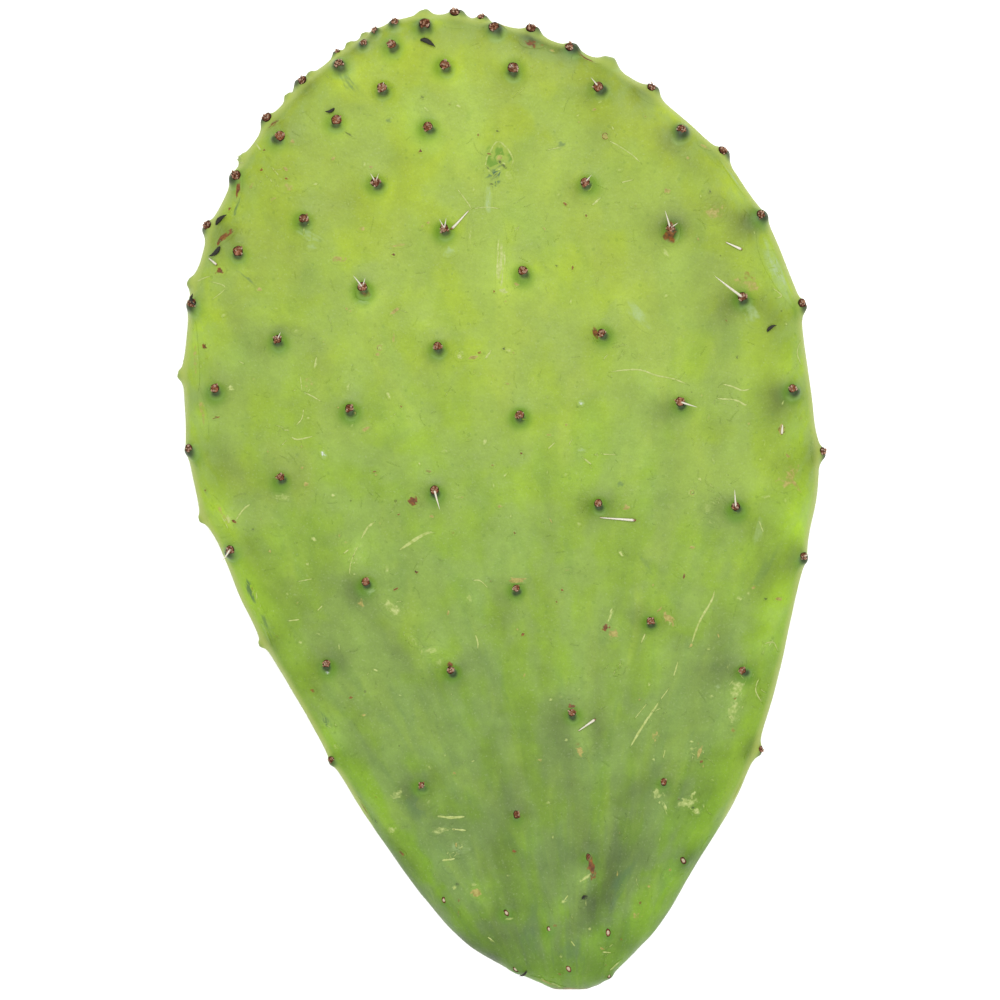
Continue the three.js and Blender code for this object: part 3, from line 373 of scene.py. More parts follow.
# Painted light and shade in the skin's colour: partly the skin's own mottling, partly painted shade and
# light of its mounds, folds and knobs.
SHADES = [  # x, y, length, width, heading, share of light gained or lost
    (20, -88, 56, 20, 84, -0.24), (3, -103, 34, 13, 96, -0.24), (37, -108, 46, 15, 71, -0.24),
    (30, -122, 22, 10, 70, -0.36), (28, -107, 12, 9, 0, -0.24), (46, -86, 22, 9, 30, -0.24),
    (2, -135, 26, 12, 0, -0.36), (2, -123, 10, 8, 0, -0.12), (-26, -90, 16, 12, 60, -0.24),
    (31, -69, 14, 8, 90, -0.12), (18, -66, 16, 14, 90, -0.24), (-50, -48, 20, 13, 80, -0.3),
    (-45, -28, 14, 12, 40, -0.24), (-34, -41, 28, 8, -55, -0.24), (-62, -33, 50, 13, -60, -0.12),
    (-77, -15, 12, 8, -40, -0.24), (-13, -52, 18, 8, 25, -0.12), (3, -65, 34, 11, -50, -0.1),
    (68, -52, 16, 13, 20, -0.36), (66, -39, 14, 8, 80, -0.12), (46, -37, 20, 10, -15, -0.12),
    (84, -20, 16, 12, -45, -0.24), (69, -3, 14, 10, 0, -0.28), (29, -1, 16, 10, 0, -0.24),
    (16, -8, 22, 8, -80, -0.08), (37, -15, 20, 14, 60, -0.08), (52, 28, 12, 12, 0, -0.12),
    (52, 4, 22, 7, 90, -0.12), (86, 32, 18, 16, 0, -0.42), (69, 57, 16, 18, 0, -0.3),
    (84, 55, 20, 10, -60, -0.24), (66, 75, 20, 12, 95, -0.12), (53, 84, 22, 12, 0, -0.3),
    (74, 85, 14, 12, 20, -0.3), (66, 93, 18, 12, -60, -0.24), (53, 111, 12, 12, 0, -0.24),
    (60, 101, 16, 8, -60, -0.12), (32, 118, 34, 22, -50, -0.08), (28, 126, 18, 10, -15, -0.12),
    (5, 105, 12, 8, 20, -0.1), (16, 140, 26, 9, -20, -0.36), (44, 124, 12, 10, -60, -0.24),
    (-84, 81, 18, 11, -20, -0.36), (-49, 91, 18, 10, 0, -0.1), (-72, 97, 12, 24, -60, -0.1),
    (-60, 68, 18, 8, 105, -0.12), (-67, 50, 12, 8, 20, -0.12), (-78, 54, 24, 9, -50, -0.24),
    (-55, 43, 18, 8, -60, -0.12), (-87, 35, 14, 12, 0, -0.24), (-70, 26, 34, 12, 0, -0.08),
    (-44, 29, 12, 8, 0, -0.12), (-18, 46, 14, 8, 50, -0.12), (30, 51, 14, 8, 0, -0.12),
    (25, 45, 12, 6, 60, -0.06), (-84, 12, 18, 12, -45, -0.24), (-64, 6, 14, 12, -60, -0.24),
    (-73, 3, 14, 8, 0, -0.12), (-35, 14, 10, 8, 0, -0.06), (-22, 1, 14, 7, 45, -0.24),
    (-63, -12, 14, 10, 60, -0.08), (4, -26, 16, 7, 20, -0.12), (0, -34, 14, 8, 80, -0.24),
    (-66, 113, 14, 9, -30, -0.24), (-32, 104, 9, 9, 0, -0.12), (-61, 127, 8, 6, 45, -0.24),
    (-43, 140, 12, 6, 40, -0.24), (-14, 144, 22, 8, 0, -0.12), (-27, 76, 8, 14, 0, -0.07),
    (30, 73, 10, 12, 0, -0.07), (-4, -75, 22, 9, 80, -0.12), (-42, -77, 16, 8, -45, -0.12),
    (-14, 124, 40, 12, -75, 0.1), (-32, 136, 16, 10, 40, 0.25), (-17, 130, 12, 9, 0, 0.22),
    (-23, 111, 18, 12, -20, 0.24), (-50, 115, 12, 9, 0, 0.22), (-48, 129, 11, 9, 0, 0.16),
    (-35, 122, 8, 10, 0, 0.12), (-37, 94, 9, 8, 0, 0.2), (-22, 95, 20, 10, 80, 0.1),
    (-70, 109, 14, 7, -20, 0.14), (7, 67, 14, 10, 0, 0.2), (1, 75, 18, 9, 90, 0.12),
    (18, 72, 16, 9, 90, 0.12), (-41, 61, 13, 8, 0, 0.25), (-25, 58, 22, 10, -70, 0.1),
    (-33, 68, 24, 12, 60, 0.06), (41, 62, 16, 8, 0, 0.08), (-5, 47, 18, 9, -60, 0.1),
    (36, 38, 14, 10, -40, 0.08), (-46, 45, 14, 9, 90, 0.08), (-27, 24, 40, 9, -80, 0.12),
    (-20, 12, 10, 8, 0, 0.1), (8, 24, 16, 8, 45, 0.1), (28, 18, 30, 16, -60, 0.12),
    (43, 12, 26, 9, 95, 0.12), (58, 14, 24, 9, -55, 0.1), (6, 3, 24, 9, 75, 0.1),
    (-43, -15, 12, 9, 70, 0.2), (-50, 14, 14, 9, 0, 0.12), (-47, -1, 12, 9, 90, 0.08),
    (-17, -13, 16, 9, 0, 0.12), (7, -15, 24, 12, 100, 0.12), (-7, -30, 26, 9, 80, 0.08),
    (22, -50, 24, 9, 90, 0.18), (21, -30, 14, 9, 90, 0.08), (47, -47, 14, 9, 90, 0.12),
    (59, -25, 36, 9, 90, 0.1), (24, -72, 16, 7, -75, 0.14), (31, -87, 22, 7, 85, 0.08),
    (-18, -45, 18, 8, -60, 0.1), (-9, -59, 12, 10, 0, 0.1), (-27, -66, 20, 12, -50, 0.08),
    (-24, -79, 18, 8, 20, 0.08), (-20, -110, 18, 9, -30, 0.16), (-9, -120, 12, 10, -20, 0.16),
    (19, -123, 16, 7, 80, 0.1), (26, -117, 10, 6, 30, 0.12), (8, -118, 10, 8, 90, 0.1),
    (29, -135, 9, 8, 0, 0.14), (50, -98, 14, 9, 90, 0.12), (76, 55, 8, 12, 90, 0.12),
    (54, 78, 10, 8, 90, 0.14), (44, 35, 12, 8, 0, 0.08), (56, 42, 24, 10, 90, 0.06),
    (-66, 44, 10, 8, 0, 0.1), (-73, 58, 12, 8, -45, 0.12), (-79, 72, 8, 8, 0, 0.12),
    (-47, 72, 22, 12, 0, 0.05), (29, 94, 10, 10, 0, 0.1), (42, 103, 20, 10, -60, 0.1),
    (4, 93, 16, 9, 90, 0.08), (-60, -19, 12, 8, 60, 0.08), (-33, -68, 10, 10, 0, 0.08),
    (91, -7, 16, 12, 80, 0.42), (86, -35, 20, 12, 70, 0.22), (72, 106, 5, 5, 0, 0.2),
    (69, -94, 22, 10, 62, 0.28), (60, -107, 12, 8, 60, 0.15), (49, -121, 30, 14, 58, 0.25),
    (77, -66, 16, 9, 70, 0.15), (92, 48, 18, 8, 90, 0.12), (88, 70, 24, 8, -65, 0.12),
    (53, 118, 8, 8, -50, 0.25), (90, 20, 10, 8, 90, 0.12), (-86, -3, 14, 10, -50, 0.35),
    (-76, -31, 26, 10, -62, 0.25), (-51, -70, 14, 9, -60, 0.3), (-38, -93, 26, 12, -58, 0.3),
    (-93, 24, 10, 8, 90, 0.2), (-93, 48, 14, 7, 90, 0.12), (-66, -46, 10, 8, -60, 0.1),
    (17, -147, 24, 6, 0, 0.25), (36, -142, 12, 5, 45, 0.2),
    (-1, -108, 14, 14, 0, -0.25), (5, -87, 18, 10, 60, -0.15), (-17, -94, 24, 12, -20, -0.15),
    (-38, -80, 10, 8, 0, -0.12), (-28, -62, 20, 20, 0, -0.08), (55, -89, 9, 7, 0, -0.18),
    (44, -110, 12, 14, 0, -0.14), (57, -110, 8, 6, 0, -0.15), (37, -136, 10, 7, 0, -0.2),
    (0, -128, 12, 8, 90, -0.1), (-50, -56, 9, 8, 0, 0.2), (-54, -74, 8, 8, 0, 0.25),
    (-43, -43, 12, 8, 0, 0.1), (24, -71, 7, 9, 0, 0.15), (10, -72, 16, 12, 0, 0.08),
    (29, -116, 8, 7, 0, 0.15), (-18, -113, 14, 8, -20, 0.1), (28, -134, 7, 6, 0, 0.1),
    (72, 95, 16, 12, -50, 0.25), (50, 120, 10, 8, -40, 0.2), (93, 40, 16, 8, 90, 0.3),
    (93, 25, 12, 8, 90, 0.25), (88, 64, 14, 8, -70, 0.15), (76, 42, 14, 12, 90, 0.1),
    (80, 6, 12, 10, 0, 0.14), (26, 6, 14, 12, 0, 0.12), (0, 70, 14, 14, 0, 0.1),
    (-41, 61, 8, 7, 0, 0.15), (-8, 109, 18, 9, 70, 0.12), (20, 112, 16, 12, 60, 0.1),
    (-84, 90, 10, 10, 90, 0.15), (-95, 48, 14, 7, 90, 0.2), (-88, 66, 12, 8, -60, 0.1),
    (-66, -17, 16, 7, -50, 0.1), (84, -40, 12, 20, -30, 0.15), (70, -60, 14, 12, 60, 0.1),
    (54, 111, 10, 10, 0, -0.2), (77, 85, 7, 8, 0, -0.2), (51, 82, 10, 14, 0, -0.1),
    (71, 59, 8, 8, 0, -0.15), (23, 94, 8, 8, 0, -0.1), (87, 31, 8, 8, 0, -0.2), (51, 27, 9, 9, 0, -0.1),
    (56, 12, 10, 12, 0, -0.12), (68, 20, 10, 14, 60, -0.08), (49, 0, 10, 12, 0, -0.08),
    (90, -16, 10, 9, 0, -0.3), (-84, 8, 14, 12, 0, -0.1), (-53, -20, 12, 12, 0, -0.14),
    (-64, -27, 14, 8, 0, -0.1), (-44, -28, 8, 10, 0, -0.1), (-20, -54, 16, 8, 20, -0.1),
    (9, -26, 8, 7, 0, -0.1), (3, -36, 8, 9, 0, -0.08), (79, -27, 8, 10, -30, -0.12),
    (66, -40, 8, 10, 0, -0.08), (-68, 88, 12, 10, 0, -0.08), (-38, 122, 8, 10, 0, -0.08),
    (-20, 126, 10, 9, 0, -0.1), (2, 128, 9, 10, 0, -0.08), (30, 110, 10, 14, 0, -0.08),
    (9, 141, 8, 8, 0, -0.3), (22, 138, 9, 7, 0, -0.3), (-60, 128, 9, 7, 45, -0.3),
    (-41, 142, 12, 6, 40, -0.2), (45, 126, 8, 6, 0, -0.25),
    (-32, 138, 8, 6, 0, 0.15), (-20, 146, 10, 5, 0, 0.2), (-16, 131, 8, 6, 0, 0.18),
    (-47, 130, 9, 7, 60, 0.18), (-27, 122, 14, 12, 0, 0.12), (-9, 122, 22, 9, -70, 0.14),
    (-69, 110, 7, 6, 0, 0.15), (57, 110, 14, 6, -50, 0.15), (61, 96, 9, 9, 0, 0.25),
    (65, 84, 12, 7, 0, 0.22), (75, 93, 9, 7, -50, 0.12), (82, 80, 14, 4, -65, 0.18),
    (53, 72, 14, 6, 80, 0.14), (-79.5, 73.5, 5, 5, 0, 0.2), (6, 85, 18, 9, -30, 0.1),
    (-10, 64, 20, 12, 0, 0.08), (-76, 54, 10, 6, -60, 0.18), (-92, 51, 16, 7, -50, 0.14),
    (-82, 43, 9, 8, 0, 0.16), (-91, 36, 12, 8, 90, 0.2), (-64, 36, 14, 10, -40, 0.13),
    (-67, 24, 12, 9, -60, 0.2), (-89, 24, 12, 7, 0, 0.18), (-91, 10, 12, 6, 90, 0.14),
    (-53, 8, 10, 6, 90, 0.1), (-33, 23, 12, 9, 50, 0.18), (28, 23, 10, 7, 90, 0.16),
    (-4, 16, 40, 9, 95, 0.08), (44, 37, 11, 4, -60, 0.14), (63, 28, 16, 8, 10, 0.12),
    (71, 52, 10, 8, 0, 0.16), (87, 40, 8, 7, 0, 0.2), (53, 5, 16, 7, 25, 0.12),
    (-68, -10, 10, 9, 0, 0.12), (-81, -17, 8, 6, -50, 0.22), (-74, -31, 16, 7, -60, 0.1),
    (-46, -20, 10, 6, 20, 0.12), (-3, -19, 30, 12, 0, 0.08), (24, -17, 12, 9, 0, 0.1),
    (48, -46, 16, 7, 90, 0.16), (21, -56, 16, 10, 0, 0.14), (-20, -50, 12, 6, -60, 0.16),
    (-28, -58, 14, 7, 80, 0.2), (-44, -85, 8, 6, 0, 0.16), (-21, -92, 10, 6, 0, 0.16),
    (51, -100, 10, 9, 0, 0.16), (13, -135, 12, 7, -20, 0.18), (51, -115, 7, 6, 0, 0.14),
    (76, -45, 18, 6, 10, 0.22), (85, -31, 18, 6, 50, 0.25), (94, -5, 20, 5, 85, 0.18),
    (58, -76, 16, 5, 70, 0.14), (36, -127, 10, 7, 0, 0.12), (29, -134, 9, 5, 60, 0.12),
    (-48, 119, 10, 7, 0, -0.18), (2, 122, 14, 6, 90, -0.12), (28, 125, 8, 7, 0, -0.16),
    (-56, 104, 10, 9, 0, -0.1), (-30, 88, 16, 6, 90, -0.13), (22, 95, 6, 6, 0, -0.14),
    (41, 100, 12, 8, -50, -0.1), (53, 84, 7, 6, 0, -0.18), (77, 85, 8, 8, 0, -0.25),
    (33, 72, 18, 8, -80, -0.12), (47, 60, 10, 7, 90, -0.18), (62, 70, 12, 7, 60, -0.1),
    (80, 59, 9, 8, 0, -0.14), (-71, 80, 22, 8, 80, -0.1), (-42, 68, 8, 5, 0, -0.1),
    (-34, 60, 10, 7, -30, -0.12), (-67, 52, 8, 5, 0, -0.12), (38, 34, 16, 8, -40, -0.14),
    (51, 26, 8, 7, 0, -0.14), (54, 19, 9, 6, 0, -0.12), (83, 25, 18, 8, 70, -0.14),
    (80, 45, 9, 7, 60, -0.12), (88, 11, 14, 9, 0, -0.22), (-47, 17, 16, 6, 95, -0.13),
    (-80, 8, 9, 8, 0, -0.1), (-86, 1, 9, 7, 0, -0.1), (42, -42, 22, 5, 90, -0.12),
    (59, -55, 12, 8, 90, -0.18), (30, -68, 14, 6, 90, -0.25), (51, -71, 20, 10, 20, -0.16),
    (77, -63, 8, 6, 0, -0.16), (64, -88, 12, 7, 20, -0.1), (80, -9, 10, 8, 0, -0.16),
    (7, -95, 9, 6, 10, -0.25), (25, -100, 14, 6, 90, -0.22), (34, -93, 8, 7, 0, -0.12),
    (35, -115, 9, 8, 0, -0.12), (58, -108, 9, 7, 70, -0.24), (-10, -114, 12, 8, 0, -0.12),
    (23, -129, 14, 5, 70, -0.16), (-45, -60, 10, 9, 90, -0.18), (-56, -58, 12, 6, -60, -0.15),
    (-13, -54, 24, 6, -35, -0.12), (-24, -74, 20, 9, 30, -0.1), (-20, -84, 12, 7, 10, -0.2),
    (-21, -103, 10, 7, 60, -0.16), (0, -125, 10, 7, 0, -0.12), (-29, -117, 26, 5, -55, -0.14),
    (-7, -138, 18, 5, -25, -0.18), (-49, -10, 20, 8, 20, -0.1),
    (8, -105, 8, 8, 0, 0.3), (15, -99, 12, 8, 90, 0.17), (25, -115, 8, 7, 0, 0.27),
    (17, -125, 10, 6, 40, 0.15), (-8, -30, 8, 7, 0, 0.23), (36, -37, 8, 5.2, 90, 0.19),
    (3, -68, 14, 4, 0, 0.15), (-22, 112, 6, 6, 0, 0.15), (-28, 118, 12, 8, 60, 0.1),
    (-49, 113, 6.8, 6, 0, 0.17), (-49, 131, 6, 6, 0, 0.19), (10, 121, 12, 8, -60, 0.08),
    (-15, 80, 10, 4.8, 100, 0.15), (-20, 146, 6, 4.8, 0, 0.3), (57, 114, 8, 4, -50, 0.27),
    (41, 81, 6.8, 6, 0, 0.1), (-41, 62, 5.2, 4, 0, 0.13), (-89, 56, 14, 8, 80, 0.11),
    (-44, 36, 8, 6, 0, 0.1), (-24, 53, 6, 5.2, 0, 0.1), (33, 48, 5.2, 4, 0, 0.11),
    (75, 33, 16, 8, 110, 0.1), (71, 18, 14, 6, 80, 0.1), (12, 10, 8, 6, 0, 0.1),
    (-12, 0, 24, 8, 100, 0.08), (43, -1, 10, 6, 90, 0.11), (59, -15, 10, 8, 90, 0.11),
    (76, -15, 8, 4.8, 110, 0.15), (73, -58, 6, 6, 0, 0.23), (73, -30, 8, 6, 90, 0.11),
    (93, -7, 12, 5.2, 75, 0.19), (-68, -13, 10, 6, 40, 0.11), (-57, -9, 6.8, 5.2, 0, 0.11),
    (-52, -43, 8, 6, 0, 0.11), (-20, -47, 8, 4.8, 60, 0.13), (7, -57, 8, 4, 0, 0.06),
    (32, -82, 12, 6, 30, 0.17), (37, -75, 8, 4.8, 60, 0.1), (-8, -103, 10, 6, 60, 0.1),
    (-6, -81, 8, 5.2, 0, 0.1), (49, -92, 6, 4.8, 90, 0.15), (77, -76, 8, 6.8, 60, -0.51),
    (66, -78, 10, 6.8, 30, -0.13), (58, -109, 8, 6, 60, -0.24), (-33, -104, 12, 6, -55, -0.19),
    (-28, -112, 12, 6, -55, -0.27), (-17, -123, 8, 6, -50, -0.19), (-20, -126, 10, 4, -50, -0.19),
    (-11, -135, 12, 4, -42, -0.3), (-2, -141, 8, 4, -35, -0.27), (2, -126, 6, 4.8, 0, -0.13),
    (-26, -88, 16, 6, 45, -0.13), (3, -81, 6, 5.2, 90, -0.1), (-32, -72, 16, 10, 10, -0.08),
    (-17, -57, 8, 4.8, 40, -0.15), (-12, -50, 5.2, 4, 0, -0.1), (-70, -43, 6, 8, 60, -0.39),
    (-64, -54, 14, 6, -60, -0.13), (-55, -52, 6, 5.2, 0, -0.11), (13, -50, 12, 6.8, 60, -0.11),
    (46, -37, 12, 6, -30, -0.15), (34, -15, 10, 6, 0, -0.08), (26, -2, 8, 6, 0, -0.13),
    (81, -26, 8, 4.8, 80, -0.15), (72, -2, 8, 6, 0, -0.15), (86, 4, 12, 8, 90, -0.1),
    (97, 15, 6, 10, 0, -0.51), (88, 33, 8, 4, 0, -0.17), (92, 57, 6, 6, 0, -0.36),
    (86, 55, 8, 6, 0, -0.1), (72, 61, 8, 6, 0, -0.15), (53, 83, 8, 6, 0, -0.19),
    (76, 82, 10, 6.8, 80, -0.11), (12, 27, 6.8, 6, 90, -0.13), (-21, 44, 8, 6, 0, -0.11),
    (-42, 67, 6, 4.8, 0, -0.11), (-67, 51, 6, 5.2, 0, -0.11), (-76, 69, 18, 12, 10, -0.11),
    (-64, 77, 8, 14, 0, -0.11), (-84, 82, 10, 8, 0, -0.11), (-85, 31, 12, 8, 0, -0.08),
    (-98, 38, 4, 6, 0, -0.3), (-91, -5, 4.8, 4.8, 0, -0.27), (-85, -1, 8, 6, 0, -0.08),
    (67, 107, 6, 6, 0, -0.3), (45, 127, 8, 4.8, -40, -0.24), (33, 135, 12, 4.8, -20, -0.24),
    (23, 138, 8, 6, 0, -0.3), (9, 142, 6, 6, 0, -0.33), (-4, 142, 6, 8, 0, -0.15),
    (-14, 148, 6, 4.8, 0, -0.27), (-44, 141, 8, 4, 40, -0.27), (-61, 130, 8, 4.8, 50, -0.24),
    (-71, 117, 6, 4.8, 0, -0.15), (36, 130, 16, 8, -30, -0.08), (-26, 137, 8, 6, 0, -0.08),
    (0, 75, 6, 8, 0, -0.08), (14, 71, 8, 4, -50, -0.1), (-16, 111, 4.8, 10, 0, -0.08),
]
RANDOM_FLECKS = 170
FLECK_LENGTH = (0.5, 1.9)
FLECK_WIDTH = (0.4, 0.9)
FLECK_STRENGTH = (0.3, 0.9)
FLECK_COLOURS = ["pale", "pale", "pale", "tan", "tan", "rust"]
RANDOM_SCRATCHES = 520
FIBRE_LENGTH = (0.8, 3.0)
FIBRE_STRENGTH = (0.25, 0.75)
SHORT_SCRATCH_WIDTH = (0.17, 0.38)

# ---- Meshes (millimetres) ---------------------------------------------------------------
RIM_STEPS = 24  # places on the fine rim for each of its points
COLUMN_STEPS = 18  # columns of the skin for each of the rim's points
FACE_RINGS = 84  # rings of the upper face inside its margin
BACK_RINGS = 40
MARGIN_RINGS = 22  # rings of each face's margin, ever closer towards the rim
MARGIN_SHARE = 0.16  # share of the way out from the heart that the margin takes
CHUNK = 6000  # points that are measured against the rim at one time
SHARP_ANGLE = math.radians(62)
KNOB_DISC = (17, 30)  # rings and columns
FELT_DISC = (7, 20)
LIFT = 0.025  # height of a knob's fine disc over the skin
SKIRT_DEPTH = 0.35  # how far the edge of a disc is sunk in the skin
BOTTOM_DEPTH = 4.0  # how far its lowest point is sunk
MARK_LIFT = 0.012  # height of each colour of mark over the one before
MARK_LIFT_STEP = 0.003  # height between neighbouring marks of one colour
MARK_CRUST = {"rust": 0.14, "tan": 0.1, "pale": 0.06}  # thickness of the marks that stand proud
MARK_REACH = 0.85  # reach of a mark's disc, soft edge and all, for each millimetre of its size
MARK_SPAN = 1.5  # the fade of a mark is given on a scale that says this at its disc's edge
CRUST_CORE = 0.4  # a crust fades from here
STAIN_CORE = 0.15  # and a stain from here
MARK_END = 1.25  # to nothing here
SCRATCH_SECTION = [(-1, -0.06), (-0.5, 0.11), (0.5, 0.11), (1, -0.06)]  # share of width, height
SCRATCH_FILL = (0.2, 1, 1, 0.2)  # colour at those places
OBLIQUE = (0.31, 0.17, 0.93)  # a direction that no spine or hair follows
BOW_AXIS = (0.3, 0.5, 1.0)  # spines bow at right angles to this

# ---- Light and camera (metres) ----------------------------------------------------------
LIGHT_GAIN = 2.54  # how much brighter the light shows a colour than it is
VEIL = 0.03  # how much the skin's sheen adds to every colour
CAMERA_DISTANCE = 4.0
VIEW_WIDTH = 0.30612
VIEW_HEIGHT = 0.013  # height above the floor at which the view is that wide
WORLD_STRENGTH = 1.3
KEY_POWER = 34
FILL_POWER = 15


# ---- Number helpers ---------------------------------------------------------------------

WORD = 0xFFFFFFFF


def seeded_stream(seed):
    """Yields the same random numbers (0 to 1) as the source of the CAD solid draws."""
    state = seed
    while True:
        state = (state + 0x6D2B79F5) & WORD
        mixed = ((state ^ (state >> 15)) * (1 | state)) & WORD
        mixed = ((mixed + (((mixed ^ (mixed >> 7)) * (61 | mixed)) & WORD)) & WORD) ^ mixed
        yield ((mixed ^ (mixed >> 14)) & WORD) / (WORD + 1)


def unit(vectors):
    """Vectors scaled to length one."""
    return vectors / np.maximum(np.linalg.norm(vectors, axis=-1, keepdims=True), 1e-9)


def heading_step(heading):
    """The level direction (x, y) at a heading in degrees from +X."""
    turn = math.radians(heading)
    return np.array([math.cos(turn), math.sin(turn)])


def smooth_step(value, low, high):
    """0 below `low`, 1 above `high`, and a smooth rise between them."""
    share = np.clip((value - low) / (high - low), 0, 1)
    return share * share * (3 - 2 * share)


def fading(distance, reach):
    """1 at no distance, about a third at the reach, and almost nothing at twice the reach."""
    return np.exp(-((distance / reach) ** 2))


def value_noise(points, cell, seed):
    """Smooth random values from -1 to 1 at points, with bumps about `cell` apart."""
    size = 32
    table = np.random.default_rng(seed).uniform(-1, 1, (size, size, size))
    scaled = points / cell
    low = np.floor(scaled).astype(int)
    part = scaled - low
    part = part * part * (3 - 2 * part)
    total = np.zeros(len(points))
    for corner in np.ndindex(2, 2, 2):
        weight = np.prod(np.where(corner, part, 1 - part), axis=1)
        x, y, z = ((low + corner) % size).T
        total += weight * table[x, y, z]
    return total


def curve_part(before, here, after, beyond, t):
    """Places at shares t of the way from `here` to `after` on a Catmull-Rom curve."""
    curve = 2 * here + (after - before) * t
    curve = curve + (2 * before - 5 * here + 4 * after - beyond) * t**2
    curve = curve + (3 * here - before - 3 * after + beyond) * t**3
    return curve / 2


def closed_curve(points, steps):
    """A closed smooth curve, with `steps` places from each of the points to the next."""
    here = np.array(points, float)
    before, after, beyond = (np.roll(here, shift, axis=0) for shift in (1, -1, -2))
    t = (np.arange(steps) / steps)[:, None, None]
    return curve_part(before, here, after, beyond, t).transpose(1, 0, 2).reshape(-1, 2)


def open_curve(points, spacing):
    """A smooth curve from the first of the points to the last, with places `spacing` apart."""
    knots = np.asarray(points, float)
    knots = np.concatenate([[2 * knots[0] - knots[1]], knots, [2 * knots[-1] - knots[-2]]])
    curve = []
    for before, here, after, beyond in zip(knots, knots[1:], knots[2:], knots[3:]):
        steps = max(2, math.ceil(math.dist(here, after) / spacing))
        curve.append(curve_part(before, here, after, beyond, (np.arange(steps) / steps)[:, None]))
    return np.concatenate(curve + [knots[-2][None]])


# ---- The pad's surface as a formula -----------------------------------------------------

RIM = closed_curve(RIM_POINTS, RIM_STEPS)
RIM_ALONG = unit(np.roll(RIM, -1, axis=0) - np.roll(RIM, 1, axis=0))
RIM_OUTWARD = np.stack([RIM_ALONG[:, 1], -RIM_ALONG[:, 0]], axis=1)
RIM_ARM = RIM - HEART
RIM_ANGLE = np.arctan2(RIM_ARM[:, 1], RIM_ARM[:, 0])
RIM_RADIUS = np.linalg.norm(RIM_ARM, axis=1)


def rim_frame(places):
    """For places (x, y): how far inside the rim they lie, and the outward direction there."""
    nearest = np.concatenate([
        np.argmin(((part[:, None] - RIM) ** 2).sum(axis=2), axis=1)
        for part in np.split(places, range(CHUNK, len(places), CHUNK))
    ])
    outward = RIM_OUTWARD[nearest]
    inset = ((RIM[nearest] - places) * outward).sum(axis=1)
    return inset, outward


def fraction_out(places):
    """How far out places lie: 0 at the heart of the pad, 1 on its rim."""
    arm = places - HEART
    angle = np.arctan2(arm[:, 1], arm[:, 0])
    reach = np.interp(angle, RIM_ANGLE, RIM_RADIUS, period=2 * math.pi)
    return np.minimum(np.linalg.norm(arm, axis=1) / reach, 1)


def middle_height(places, fraction):
    """Height of the pad's middle sheet above the ground."""
    x, y = (places / WAVE_REACH + WAVE_START).T
    wave = WAVE * np.sin(x) * np.cos(y)
    return RIM_HALF_THICKNESS + CROWN - FLAT_DEPTH + DISH * fraction**2 + wave


def edge_thickness(places):
    """Half the thickness just inside the rounded rim."""
    return RIM_HALF_THICKNESS - THICKER_TO_BASE * places[:, 1]


def skin_at(places, side):
    """Points and normals of the smooth skin over places, on the upper (side 1) or lower (-1) face."""
    inset, outward = rim_frame(places)
    turn = np.arccos(1 - np.clip(inset / RIM_ROUNDING, 0, 1))
    fraction = fraction_out(places)
    edge = edge_thickness(places)
    half = (edge + CROWN * (1 - fraction**2)) * np.sin(turn)
    height = middle_height(places, fraction) + side * half
    across = outward * (np.cos(turn) / RIM_ROUNDING)[:, None]
    normals = unit(np.column_stack([across, side * np.sin(turn) / edge]))
    return np.column_stack([places, height]), normals


def onto_skin(points):
    """Moves points that lie near the pad on to its smooth skin."""
    places = points[:, :2]
    inset, outward = rim_frame(places)
    rise = points[:, 2] - middle_height(places, fraction_out(places))
    reach = np.clip(RIM_ROUNDING - inset, 0, None) / RIM_ROUNDING
    turn = np.arctan2(np.abs(rise) / edge_thickness(places), reach)
    shift = np.where(inset < RIM_ROUNDING, inset - RIM_ROUNDING * (1 - np.cos(turn)), 0)
    return skin_at(places + outward * shift[:, None], np.where(rise < 0, -1, 1))


def frame_at(normal):
    """Two directions in the skin at a normal: across the pad, and along it towards the tip."""
    along = np.array([0.0, 1.0, 0.0])
    if abs(normal[1]) > 0.9:
        along = np.array([0.0, 0.0, 1.0])
    along = unit(along - normal * (along @ normal))
    return np.cross(along, normal), along


# ---- Areoles ----------------------------------------------------------------------------


